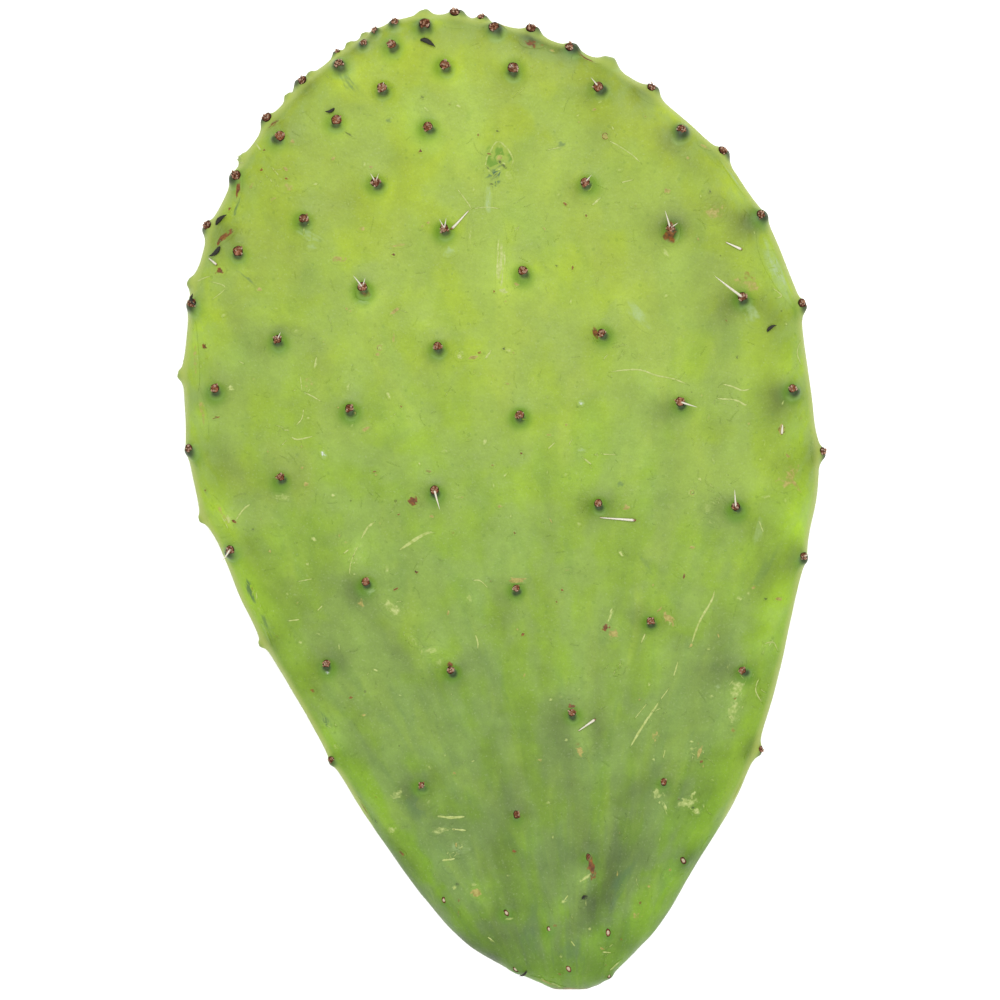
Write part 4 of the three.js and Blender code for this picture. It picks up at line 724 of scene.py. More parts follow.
class Areole:
    """One areole's seat on the smooth skin, its size and age, and which way its knob faces."""

    def __init__(self, x, y, side, size=1.0, bare=False):
        place = np.array([[x, y]], float)
        inset, outward = rim_frame(place)
        points, normals = skin_at(place + outward * min(inset[0], 0), side)
        self.point = points[0]
        self.normal = normals[0]
        self.across, self.along = frame_at(self.normal)
        self.scale = size * knob_scale(y)
        self.bare = bare
        self.zone = int(inset[0] < RIM_INSET)  # which value of a pair holds for it
        self.random = np.random.default_rng(int(1000 + 10 * x + 7 * y) % 9973)
        wander = self.random.uniform(-OLD_SPREAD, OLD_SPREAD)
        self.age = float(smooth_step(wander - y, OLD_FROM, OLD_BY))
        self.chin = self.draw_chin(x, y)
        self.foot = self.point + (self.chin * CHIN_SHIFT - self.along * LEAN_BACK) * self.scale
        self.facing = unit(self.normal + np.array([0.0, 0.0, TILT[self.zone]]) * side)
        self.sideways = unit(np.cross(self.chin, self.facing))
        self.tipward = np.cross(self.sideways, self.facing)
        # strength of the painted highlight ring beside the knob
        self.ring = self.random.uniform(0.1, 1.0)
        # strength of the painted shade round the knob
        self.halo = self.random.uniform(0.6, 1.0) * np.interp(y, HALO_Y, HALO_BY_Y)
        self.halo_shift = self.draw_halo_shift(y)

    def draw_chin(self, x, y):
        """Draws the direction in the skin of the knob's chin."""
        at_left_tip = x < LEFT_TIP[0] and y > LEFT_TIP[1]
        heading = LEFT_TIP_CHIN_HEADING if at_left_tip else CHIN_HEADING
        level = np.append(heading_step(heading + self.random.uniform(-CHIN_SWING, CHIN_SWING)), 0)
        return unit(level - self.normal * (level @ self.normal))

    def draw_halo_shift(self, y):
        """Draws how far the middle of the painted shade round the knob lies from the foot: mostly towards
        the base.
        """
        aside = self.random.normal(-0.3, 0.6)
        down = self.random.normal(-0.9, 0.5)
        return np.array([aside, down * smooth_step(-y, -120, -60), 0.0])

    def knob_rise(self, away):
        """Height of the knob at distances from its axis."""
        fullness = 1 - KNOB_SHRINKING * self.age
        return fullness * KNOB_HEIGHT * self.scale / (1 + (away / (KNOB_RADIUS * self.scale)) ** 4)

    def felt_seat(self):
        """Where the felt cushion sits on the knob."""
        shift = (self.facing - self.normal) * FELT_SHIFT[self.zone] - self.along * LEAN_BACK
        surface, normals = onto_skin((self.point + shift * self.scale)[None])
        return grown(surface, normals, -FELT_DEPTH)[0]


def knob_scale(y):
    """Size of a knob by its place: smaller towards the base."""
    return BASE_KNOB_SCALE + (1 - BASE_KNOB_SCALE) * (y - SCAR_Y) / (-2 * SCAR_Y)


def lower_places(random):
    """Places of the lower face's areoles, by the rule of the solid."""
    coarse_rim = RIM[::2]
    for row in range(LOWER_ROW_COUNT):
        y = LOWER_FIRST_ROW + LOWER_ROW_PITCH * row
        ends = coarse_rim[np.abs(coarse_rim[:, 1] - y) < LOWER_ROW_BAND][:, 0]
        left = ends.min() + LOWER_ROW_INSET
        right = ends.max() - LOWER_ROW_INSET
        last = LOWER_STEPS + (row % 2) / 2
        for step in np.arange(-last, last + 1):
            nudge_x = (next(random) - 0.5) * 2 * LOWER_JITTER
            nudge_y = (next(random) - 0.5) * 2 * LOWER_JITTER
            if abs(step * LOWER_STEP_ANGLE) <= LOWER_REACH:
                swing = math.sin(math.radians(step * LOWER_STEP_ANGLE))
                yield (left + right) / 2 + swing * (right - left) / 2 + nudge_x, y + nudge_y


def lower_areoles():
    """The lower face's areoles, and the root and run of each spine that they carry."""
    random = seeded_stream(LOWER_SEED)
    areoles = [Areole(x, y, -1) for x, y in lower_places(random)]
    spines = []
    for areole in areoles:
        carries_spine = next(random) < LOWER_SPINE_SHARE
        heading = next(random) * 2 * math.pi
        if carries_spine and areole.point[2] > LOWER_SPINE_CLEAR:
            run = np.array([math.cos(heading), math.sin(heading), -SPINE_RISE])
            spines.append((areole.point, unit(run) * LOWER_SPINE_RUN))
    return areoles, spines


UPPER_AREOLES = [Areole(x, y, 1) for row in UPPER_ROWS for x, y in row]
UPPER_AREOLES += [Areole(x, y, 1, size, bare) for x, y, size, bare in MARGIN_KNOBS]
LOWER_AREOLES, LOWER_SPINES = lower_areoles()
AREOLES = UPPER_AREOLES + LOWER_AREOLES


# ---- Relief and masks of the skin -------------------------------------------------------


def nearby(points, reach):
    """The areoles within a reach of points, each with the distances to it."""
    low, high = points.min(axis=0) - reach, points.max(axis=0) + reach
    for areole in AREOLES:
        if np.all(areole.point > low) and np.all(areole.point < high):
            yield areole, np.linalg.norm(points - areole.point, axis=1)


def soft_spot(points, x, y, length, width, heading):
    """1 in the middle of a long soft spot on the upper face, and fading away from it."""
    ahead = heading_step(heading)
    arm = points[:, :2] - (x, y)
    along = arm @ ahead / (length / 2)
    across = arm @ (-ahead[1], ahead[0]) / (width / 2)
    return np.exp(-(along**2 + across**2)) * (points[:, 2] > RIM_HALF_THICKNESS)


def growth_at(points):
    """Coordinates that follow the growth of the pad: across the fan, along it, and up."""
    arm = points[:, :2] - FAN_ORIGIN
    angle = np.arctan2(arm[:, 0], arm[:, 1])
    return np.column_stack([angle, np.linalg.norm(arm, axis=1), points[:, 2]]) * FAN_SCALE


def relief(points):
    """Height of the skin's own relief above the smooth pad: mounds, folds, ripples and ribs."""
    total = np.zeros(len(points))
    for areole, gap in nearby(points, 3 * SWELL_REACH):
        rise = SWELL_HEIGHT * np.interp(areole.point[1], SWELL_Y, SWELL_BY_Y) * areole.scale
        total += rise * np.exp(-((gap / SWELL_REACH / areole.scale) ** 2) / 2)
    for *spot, height in FOLDS:
        total += height * soft_spot(points, *spot)
    for height, size, seed in RIPPLES:
        total += height * value_noise(points, size, seed)
    return total + RIB_HEIGHT * value_noise(growth_at(points), RIB_WIDTH, 3)


def knob_shape(points):
    """Height of the knobs over points of the smooth skin, and how far they lean there."""
    total = np.zeros(len(points))
    lean = np.zeros((len(points), 3))
    for areole, gap in nearby(points, KNOB_REACH):
        size = areole.scale
        rise = areole.knob_rise(np.linalg.norm(points - areole.foot, axis=1))
        chin_gap = np.linalg.norm(points - areole.foot - areole.chin * CHIN_PLACE * size, axis=1)
        rise += CHIN_HEIGHT * (1 - areole.age) * size * fading(chin_gap, CHIN_WIDTH * size)
        rise *= 1 - smooth_step(gap / (KNOB_REACH * size), *KNOB_FADE)
        higher = rise > total
        total[higher] = rise[higher]
        lean[higher] = rise[higher, None] * areole.along * KNOB_LEAN
    return total, lean


def grown(points, normals, extra=0.0, fine=True):
    """Points of the real skin: the smooth skin with its relief, its knobs and any extra height."""
    height = relief(points) + extra
    lean = 0
    if fine:
        knobs, lean = knob_shape(points)
        height = height + knobs
    lifted = points + normals * height[:, None] + lean
    lifted[:, 1] = np.maximum(lifted[:, 1], SCAR_Y)
    lifted[:, 2] = np.maximum(lifted[:, 2], 0)
    return lifted


def areole_masks(points):
    """Masks round the areoles: painted shade in darker green, dark grey-green colour with painted shade,
    painted highlight rings and the rim's shades.
    """
    masks = {name: np.zeros(len(points)) for name in ("halo", "slate", "ring", "rim_shade")}

    def lay(name, strength):
        masks[name] = np.maximum(masks[name], strength)

    wander = value_noise(points, 1.5, 7)
    for areole, _ in nearby(points, 3 * HALO_REACH):
        size = areole.scale
        offset = points - areole.foot
        # painted shade: darker green round the knob, shifted mostly towards the base
        away = np.linalg.norm(offset - areole.halo_shift * size, axis=1)
        lay("halo", areole.halo * size * fading(away, HALO_REACH * size))
        gap = np.linalg.norm(offset, axis=1) / size
        toward = offset @ areole.chin / size / np.maximum(gap, 0.5)
        # dark grey-green colour of the knob with painted shade over it, strongest on the chin's side
        edge = SLATE_EDGE[areole.zone] + 0.4 * toward + 0.45 * wander
        behind = SLATE_BEHIND[areole.zone]
        depth = behind + (1 - behind) * smooth_step(toward, -0.7, 0.6)
        young = OLD_SLATE + (1 - OLD_SLATE) * (1 - areole.age)
        fade = 1 - smooth_step(gap, edge - SLATE_SOFTNESS[areole.zone], edge + 0.5)
        lay("slate", fade * depth * young * (BARE_SLATE if areole.bare else 1))
        # painted highlight: a pale ring just beyond that edge on the chin's side
        ring = fading(gap - edge - 0.35, 0.42) * smooth_step(toward, 0.1, 0.9)
        lay("ring", ring * areole.ring * young)
        if areole.zone:
            lay("rim_shade", fading(gap, RIM_KNOB_REACH))
    return masks


def margin_light(points, inset):
    """Light gained or lost along the margin of the upper and lower faces."""
    band = smooth_step(inset, 0.0, 1.5) * (1 - smooth_step(inset, 4.0, 11.0))
    return band * np.interp(points[:, 1], MARGIN_LIGHT_Y, MARGIN_LIGHT)


def skin_masks(points):
    """Everything that the skin's material reads at points, apart from the marks."""
    masks = areole_masks(points)
    inset, _ = rim_frame(points[:, :2])
    down = -points[:, 1]
    # painted light and shade: the soft spots, the margin's light and the rim knobs' shade
    shade = sum(amount * soft_spot(points, *spot) for *spot, amount in SHADES)
    shade += margin_light(points, inset) - RIM_KNOB_SHADE * masks.pop("rim_shade")
    masks["shade"] = shade
    masks["inset"] = np.clip(inset + DARK_BASE_INSET * smooth_step(down, *DARK_BASE_Y), 0, 60)
    masks["cork"] = smooth_step(down, -SCAR_Y - 0.5, -SCAR_Y - 0.1)
    masks["growth"] = growth_at(points)
    return masks


def with_marks(points, **given):
    """The skin's masks at points, with the marks that are given and no others."""
    masks = {name: np.zeros(len(points)) for name in MARKS}
    masks.update(skin_masks(points))
    masks.update(given)
    return masks


# ---- Mesh helpers -----------------------------------------------------------------------


class Build:
    """Gathers points, faces and point values of many small forms that make one piece."""

    def __init__(self):
        self.points = []
        self.faces = []
        self.values = {}
        self.count = 0

    def add(self, points, faces, **values):
        """Adds one form: its points, its faces and a value of each kind for every point."""
        self.points.append(points)
        self.faces += [tuple(index + self.count for index in face) for face in faces]
        for name, value in values.items():
            self.values.setdefault(name, []).append(value)
        self.count += len(points)

    def finish(self, name, material, slot):
        """Makes the Blender object, and ties it to the CAD model."""
        mesh = bpy.data.meshes.new(name)
        points = np.concatenate(self.points) * MM
        mesh.from_pydata(points.tolist(), [], self.faces)
        for key, parts in self.values.items():
            value = np.concatenate(parts).astype(np.float32)
            kind, field = ("FLOAT_VECTOR", "vector") if value.ndim == 2 else ("FLOAT", "value")
            layer = mesh.attributes.new(key, kind, "POINT")
            layer.data.foreach_set(field, value.ravel())
        mesh.polygons.foreach_set("use_smooth", [True] * len(mesh.polygons))
        mesh.set_sharp_from_angle(angle=SHARP_ANGLE)
        mesh.materials.append(material)
        mesh.update()
        piece = bpy.data.objects.new(name, mesh)
        bpy.context.scene.collection.objects.link(piece)
        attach(piece, BODY)
        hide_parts(NODE)
        return piece


def band_faces(start, columns):
    """Faces between the closed ring of points that begins at `start` and the ring after it."""
    for i in range(columns):
        j = (i + 1) % columns
        yield start + i, start + columns + i, start + columns + j, start + j


def disc_faces(rings, columns):
    """Faces of a closed disc: a middle point, rings of points round it, and one point below."""
    below = 1 + rings * columns
    faces = [(0, 1 + i, 1 + (i + 1) % columns) for i in range(columns)]
    for start in range(1, below - columns, columns):
        faces += band_faces(start, columns)
    last = below - columns
    faces += [(below, last + (i + 1) % columns, last + i) for i in range(columns)]
    return faces


def disc_grid(shares, columns):
    """Share of the reach, and angle, of a closed disc's points, from the shares of its rings."""
    share = np.repeat(shares, columns)
    angle = np.tile(np.arange(columns) * 2 * math.pi / columns, len(shares))
    return np.concatenate([[0], share, [0]]), np.concatenate([[0], angle, [0]])


def skirted_grid(rings, columns):
    """The grid of a disc whose last ring is a skirt, right below the ring before it."""
    return disc_grid(np.append(np.arange(1, rings) / (rings - 1), 1), columns)


def skirt(share, columns, lift):
    """Heights that lift a disc over the skin, and sink its last ring and the point below."""
    heights = np.full(len(share), lift)
    heights[-1 - columns:] = -SKIRT_DEPTH
    heights[-1] = -BOTTOM_DEPTH
    return heights


def skin_disc(centre, across, along, share, angle):
    """A disc's points and normals on the smooth skin, in the plane of `across` and `along`."""
    offset = np.cos(angle)[:, None] * across + np.sin(angle)[:, None] * along
    return onto_skin(centre + offset * share[:, None])


def tube(path, radii, sides, flatten=1.0):
    """A closed tapering tube along a path; returns its points, faces and share of length."""
    path = np.asarray(path, float)
    heading = unit(np.gradient(path, axis=0))
    across = unit(np.cross(heading, OBLIQUE))
    upward = np.cross(across, heading)
    angle = np.arange(sides) * 2 * math.pi / sides
    ring = np.cos(angle)[None, :, None] * across[:, None]
    ring = ring + np.sin(angle)[None, :, None] * upward[:, None] * flatten
    points = (path[:, None] + ring * np.asarray(radii)[:, None, None]).reshape(-1, 3)
    last = (len(path) - 1) * sides
    faces = [
        (near, beside, far_beside, far)
        for start in range(0, last, sides)
        for near, far, far_beside, beside in band_faces(start, sides)
    ]
    faces += [tuple(reversed(range(sides))), tuple(range(last, last + sides))]
    return points, faces, np.repeat(np.linspace(0, 1, len(path)), sides)


def lying_path(points, height, spacing=0.9):
    """A path through places (x, y) on the upper face, lying at a height on the skin."""
    surface, normals = skin_at(open_curve(points, spacing), 1)
    return grown(surface, normals, height), normals


# ---- Pieces -----------------------------------------------------------------------------


def ring_shares(rings):
    """Shares of the way from the heart to the rim of a face's rings, close together in its margin."""
    face = np.linspace(0, 1 - MARGIN_SHARE, rings, endpoint=False)[1:]
    closing = np.sin(np.linspace(0, 1, MARGIN_RINGS) * math.pi / 2)
    return np.concatenate([face, 1 - MARGIN_SHARE * (1 - closing)])


def make_skin(material):
    """The whole skin: rings of points on both faces that meet along the rim."""
    rim = closed_curve(RIM_POINTS, COLUMN_STEPS)
    columns = len(rim)
    upper = ring_shares(FACE_RINGS)
    lower = ring_shares(BACK_RINGS)[-2::-1]
    rings = [HEART + share * (rim - HEART) for share in np.concatenate([upper, lower])]
    places = np.concatenate(rings + [[HEART, HEART]])
    sides = np.repeat([1, -1, 1, -1], [len(upper) * columns, len(lower) * columns, 1, 1])
    points, normals = skin_at(places, sides)
    top = len(rings) * columns
    bottom = top + 1
    last = top - columns
    faces = [(top, i, (i + 1) % columns) for i in range(columns)]
    faces += [(bottom, last + (i + 1) % columns, last + i) for i in range(columns)]
    for start in range(0, last, columns):
        faces += band_faces(start, columns)
    build = Build()
    build.add(grown(points, normals, fine=False), faces, **with_marks(points))
    return build.finish("skin", material, "skin")


def make_knobs(material):
    """The tubercle under every areole: a fine disc of skin that rises to a leaning knob."""
    share, angle = skirted_grid(*KNOB_DISC)
    faces = disc_faces(*KNOB_DISC)
    heights = skirt(share, KNOB_DISC[1], LIFT)
    build = Build()
    for areole in AREOLES:
        reach = KNOB_REACH * areole.scale
        points, normals = skin_disc(
            areole.point, areole.across * reach, areole.along * reach, share, angle
        )
        rough = 0.10 * (1 - share) * value_noise(points, 1.2, 5)
        build.add(grown(points, normals, heights + rough), faces, **with_marks(points))
    return build.finish("tubercles", material, "skin")


def make_felt(material):
    """The felt cushion of each areole: a lumpy oval mound with a dark edge."""
    rings, columns = FELT_DISC
    share, angle = disc_grid(np.arange(1, rings + 1) / rings, columns)
    faces = disc_faces(rings, columns)
    build = Build()
    for areole in AREOLES:
        if areole.bare:
            continue
        age = areole.age
        size = areole.scale * areole.random.uniform(0.88, 1.1)
        half_width = areole.sideways * FELT_HALF_WIDTH * (1 - FELT_NARROWING * age) * size
        half_length = areole.tipward * FELT_HALF_LENGTH * (1 + FELT_LENGTHENING * age) * size
        offset = (share * np.cos(angle))[:, None] * half_width
        offset += (share * np.sin(angle))[:, None] * half_length
        lumps = value_noise(offset + areole.point * 3.1, FELT_LUMP_SIZE, 11)
        height = FELT_HEIGHT * (1 - FELT_FLATTENING * age) * size * FELT_SIZE_UP[areole.zone]
        rise = height * np.sqrt(np.clip(1.04 - share**2, 0, 1)) + FELT_LUMP_HEIGHT * size * lumps
        rise[-1] -= FELT_ROOT
        up = unit(areole.facing + areole.tipward * FELT_LEAN)
        points = areole.felt_seat() + offset * (1 + 0.10 * lumps)[:, None] + up * rise[:, None]
        points[:, 2] = np.maximum(points[:, 2], 0.01)
        tint = areole.random.uniform(0, 1) * FELT_BRIGHT[areole.zone]
        build.add(
            points, faces, core=1 - share, old=age * smooth_step(1 - share, 0.1, 0.5),
            tint=np.full(len(points), tint), lump=lumps,
        )
    return build.finish("areole_felt", material, "areole_felt")


def glochid_tuft(build, areole, seat):
    """Adds three short hairs that rise side by side from one place on the felt."""
    random = areole.random
    aside, ahead = random.uniform(-0.75, 0.75), random.uniform(-0.9, 0.4)
    root = seat + (
        areole.sideways * aside * FELT_HALF_WIDTH + areole.tipward * ahead * FELT_HALF_LENGTH
        + areole.facing * (0.55 - 0.35 * (aside**2 + ahead**2))
    ) * areole.scale
    turn = aside * 0.8 + random.uniform(-0.3, 0.3)
    lean = unit(areole.facing * 0.7 + areole.tipward + areole.sideways * turn)
    tint = random.uniform(0, 1)
    length = random.uniform(*GLOCHID_LENGTH) * areole.scale * HAIR_SIZE[areole.zone]
    for spread in TUFT_HAIRS:
        start = root + areole.sideways * spread
        run = unit(lean + areole.sideways * spread * 1.5) * length
        path = [start, start + run * 0.6, start + run]
        if path[2][2] > 0.15:
            points, faces, along = tube(path, GLOCHID_RADII, 3)
            build.add(points, faces, along=along, tint=np.full(len(points), tint))


def make_glochids(material):
    """Tufts of short barbed hairs that fan out over the felt of each areole, tipwards."""
    build = Build()
    for areole in AREOLES:
        if areole.bare or areole.age > LAST_TUFT_AGE:
            continue
        seat = areole.felt_seat()
        for _ in range(TUFTS[0] + round(TUFTS[1] * (1 - areole.age))):
            glochid_tuft(build, areole, seat)
    return build.finish("glochids", material, "spine")


def spine_path(root, run, bend):
    """A gently bowed path along a run."""
    steps = np.linspace(0, 1, len(SPINE_TAPER))[:, None]
    return root + run * steps + np.cross(run, BOW_AXIS) * bend * steps**2


def upper_spines():
    """The root and run of each spine on the upper face."""
    for x, y, run_x, run_y in UPPER_SPINES:
        areole = min(UPPER_AREOLES, key=lambda one: math.dist(one.point[:2], (x, y)))
        run = np.array([run_x, run_y, SPINE_RISE * math.hypot(run_x, run_y)])
        yield areole.felt_seat() + areole.facing * 0.3, run


def make_spines(material):
    """The spines that grow from areoles on both faces, bowed one way and the other in turn."""
    build = Build()
    for number, (root, run) in enumerate([*LOWER_SPINES, *upper_spines()]):
        stout = SPINE_RADIUS * min(1.0, 0.45 + np.linalg.norm(run) / 20)
        sunk = unit(run) * SPINE_ROOT
        path = spine_path(root - sunk, run + sunk, SPINE_BOW * (-1) ** number)
        points, faces, along = tube(path, SPINE_TAPER * stout, 8)
        build.add(points, faces, along=along)
    return build.finish("spines", material, "spine")


def make_fallen_spines(material):
    """Spines that broke off and lie on the skin."""
    build = Build()
    for x, y, end_x, end_y in FALLEN_SPINES:
        path, _ = lying_path([(x, y), (end_x, end_y)], 0.3)
        radii = np.linspace(1, 0.3, len(path)) * FALLEN_SPINE_RADIUS
        radii[0] = 0.2
        points, faces, along = tube(path, radii, 8)
        build.add(points, faces, along=along)
    return build.finish("fallen_spines", material, "spine")


def make_leaf_remains(material):
    """The shrivelled awl-shaped leaves that are left on the skin."""
    share = np.linspace(0, 1, len(LEAF_PROFILE))[:, None]
    build = Build()
    for x, y, heading, length in LEAF_REMAINS:
        step = heading_step(heading)
        bow = np.array([-step[1], step[0]]) * 0.5 * np.sin(share * math.pi)
        places = np.array([x, y]) + step * (share - 0.5) * length + bow
        surface, normals = skin_at(places, 1)
        path = grown(surface, normals, 0.45 + 0.5 * share[:, 0])
        points, faces, along = tube(path, LEAF_PROFILE * (LEAF_RADIUS * length), 9, 0.6)
        points = points + 0.12 * value_noise(points, 0.7, 9)[:, None]
        build.add(points, faces, along=along)
    return build.finish("leaf_remains", material, "cork")


def mark_patch(build, x, y, length, width, heading, strength, colour, number, rings):
    """Adds one soft-edged mark on the skin, with an uneven edge."""
    columns = 2 * rings
    share, angle = skirted_grid(rings, columns)
    ahead = np.append(heading_step(heading), 0)
    aside = np.array([-ahead[1], ahead[0], 0])
    centre, _ = skin_at(np.array([[x, y]], float), 1)
    points, normals = skin_disc(
        centre[0], ahead * length * MARK_REACH, aside * width * MARK_REACH, share, angle
    )
    spread = np.column_stack([
        share * np.cos(angle), share * np.sin(angle), np.full(len(share), 9.7 * number),
    ])
    ragged = value_noise(spread, 0.34, 21) + 0.6 * value_noise(spread, 0.15, 22)
    core = CRUST_CORE if colour in MARK_CRUST else STAIN_CORE
    fill = strength * (1 - smooth_step(share * MARK_SPAN + 0.55 * ragged, core, MARK_END))
    fill[share > 0.99] = 0
    layer = LIFT + MARK_LIFT * (1 + list(MARKS).index(colour)) + MARK_LIFT_STEP * (number % 4)
    crust = MARK_CRUST.get(colour, 0) * fill * (1 + 0.6 * ragged)
    build.add(
        grown(points, normals, skirt(share, columns, layer) + crust),
        disc_faces(rings, columns), **with_marks(points, **{colour: fill}),
    )


def mark_rings(size):
    """How many rings the disc of a mark of this size has."""
    return 6 if size < 2 else 9 if size < 4 else 14


def make_marks(material):
    """Stains, waxy bloom, pale and corky scars, rust spots and dark specks on the upper face."""
    build = Build()
    for colour, spots in MARKS.items():
        for number, spot in enumerate(spots):
            mark_patch(build, *spot, colour, number, mark_rings(max(spot[2:4])))
    return build.finish("marks", material, "skin")


def make_flecks(material):
    """Small pale and rusty flecks, strewn over the upper face."""
    random = np.random.default_rng(19)
    build = Build()
    number = 0
    while number < RANDOM_FLECKS:
        x, y = random.uniform(-96, 96), random.uniform(-142, 142)
        length, width = random.uniform(*FLECK_LENGTH), random.uniform(*FLECK_WIDTH)
        heading, strength = random.uniform(0, 180), random.uniform(*FLECK_STRENGTH)
        colour = random.choice(FLECK_COLOURS)
        if rim_frame(np.array([[x, y]]))[0][0] > 3:
            mark_patch(build, x, y, length, width, heading, strength, colour, number, 4)
            number += 1
    return build.finish("flecks", material, "skin")


def scratch_ridge(build, places, width, strength, colour="pale"):
    """Adds one scratch: a low closed ridge of healed skin along a path."""
    path, normals = lying_path(places, 0, 0.9 if len(places) > 3 else 0.6)
    across = unit(np.cross(normals, unit(np.gradient(path, axis=0))))
    share = np.linspace(-1, 1, len(path))
    half = width * 0.6 * (1 - np.abs(share) ** 5 * 0.9) * (1 + 0.3 * value_noise(path, 1.1, 31))
    points = np.concatenate([
        path + across * (half * offset)[:, None] + normals * rise
        for offset, rise in SCRATCH_SECTION
    ])
    count = len(path)
    first = tuple(range(0, 4 * count, count))
    faces = [first, tuple(index + count - 1 for index in reversed(first))]
    for row, start in enumerate(first):
        beside = first[(row + 1) % 4]
        faces += [(start + i, beside + i, beside + i + 1, start + i + 1) for i in range(count - 1)]
    fade = strength * (1 - share**8) * (1 + 0.25 * value_noise(path, 0.8, 33))
    fill = np.clip(np.concatenate([fade * part for part in SCRATCH_FILL]), 0, 1)
    build.add(points, faces, **with_marks(points, **{colour: fill}))


def short_scratch(build, random, x, y, heading, length, strength):
    """Adds one short, slightly bent scratch, unless it would reach the rim."""
    step = np.array([math.cos(heading), math.sin(heading)]) * length / 2
    bow = np.array([-step[1], step[0]]) * random.uniform(-0.25, 0.25)
    middle = np.array([x, y])
    places = np.array([middle - step, middle + bow, middle + step])
    width = random.uniform(*SHORT_SCRATCH_WIDTH)
    if rim_frame(places)[0].min() > 1.5:
        scratch_ridge(build, places, width, strength)


def add_ringed_mark(build, x, y, radius, colour, strength):
    """Adds the raised ring of a small round mark."""
    circle = [
        (x + radius * math.cos(turn), y + radius * math.sin(turn))
        for turn in np.linspace(0, 2 * math.pi, 9)
    ]
    scratch_ridge(build, circle, radius * 0.45, strength, colour)


def add_fibres(build, random, x, y, length, width, heading, count):
    """Adds a patch of short pale strokes that lie roughly one way."""
    turn = math.radians(heading)
    for _ in range(count):
        ahead, aside = random.normal(0, length / 4), random.normal(0, width / 4)
        short_scratch(
            build, random, x + ahead * math.cos(turn) - aside * math.sin(turn),
            y + ahead * math.sin(turn) + aside * math.cos(turn),
            turn + random.normal(0, 0.5), random.uniform(*FIBRE_LENGTH),
            random.uniform(*FIBRE_STRENGTH),
        )


def make_scratches(material):
    """Healed scratches: long ones, fibrous patches of short strokes, and a few strewn about."""
    random = np.random.default_rng(23)
    build = Build()
    for width, *places in SCRATCHES:
        scratch_ridge(build, places, width, 1.0)
    scratch_ridge(build, HEALED_SCAR, 0.7, 0.62)
    for ringed in RINGED_MARKS:
        add_ringed_mark(build, *ringed)
    for patch in FIBRE_PATCHES:
        add_fibres(build, random, *patch)
    for _ in range(RANDOM_SCRATCHES):
        x, y = random.uniform(-92, 92), random.uniform(-140, 140)
        turn, length = random.uniform(0, math.pi), min(random.exponential(1.2) + 0.7, 5)
        short_scratch(build, random, x, y, turn, length, random.uniform(0.12, 0.5))
    return build.finish("scratches", material, "skin")


# ---- Materials --------------------------------------------------------------------------


def tone(red, green, blue):
    """Scene-linear colour that shows as this sRGB colour (0 to 255) under the scene's light."""
    linear = [
        value / 12.92 if value <= 0.04045 else ((value + 0.055) / 1.055) ** 2.4
        for value in (red / 255, green / 255, blue / 255)
    ]
    return (*[max(value - VEIL, 0) / LIGHT_GAIN for value in linear], 1.0)


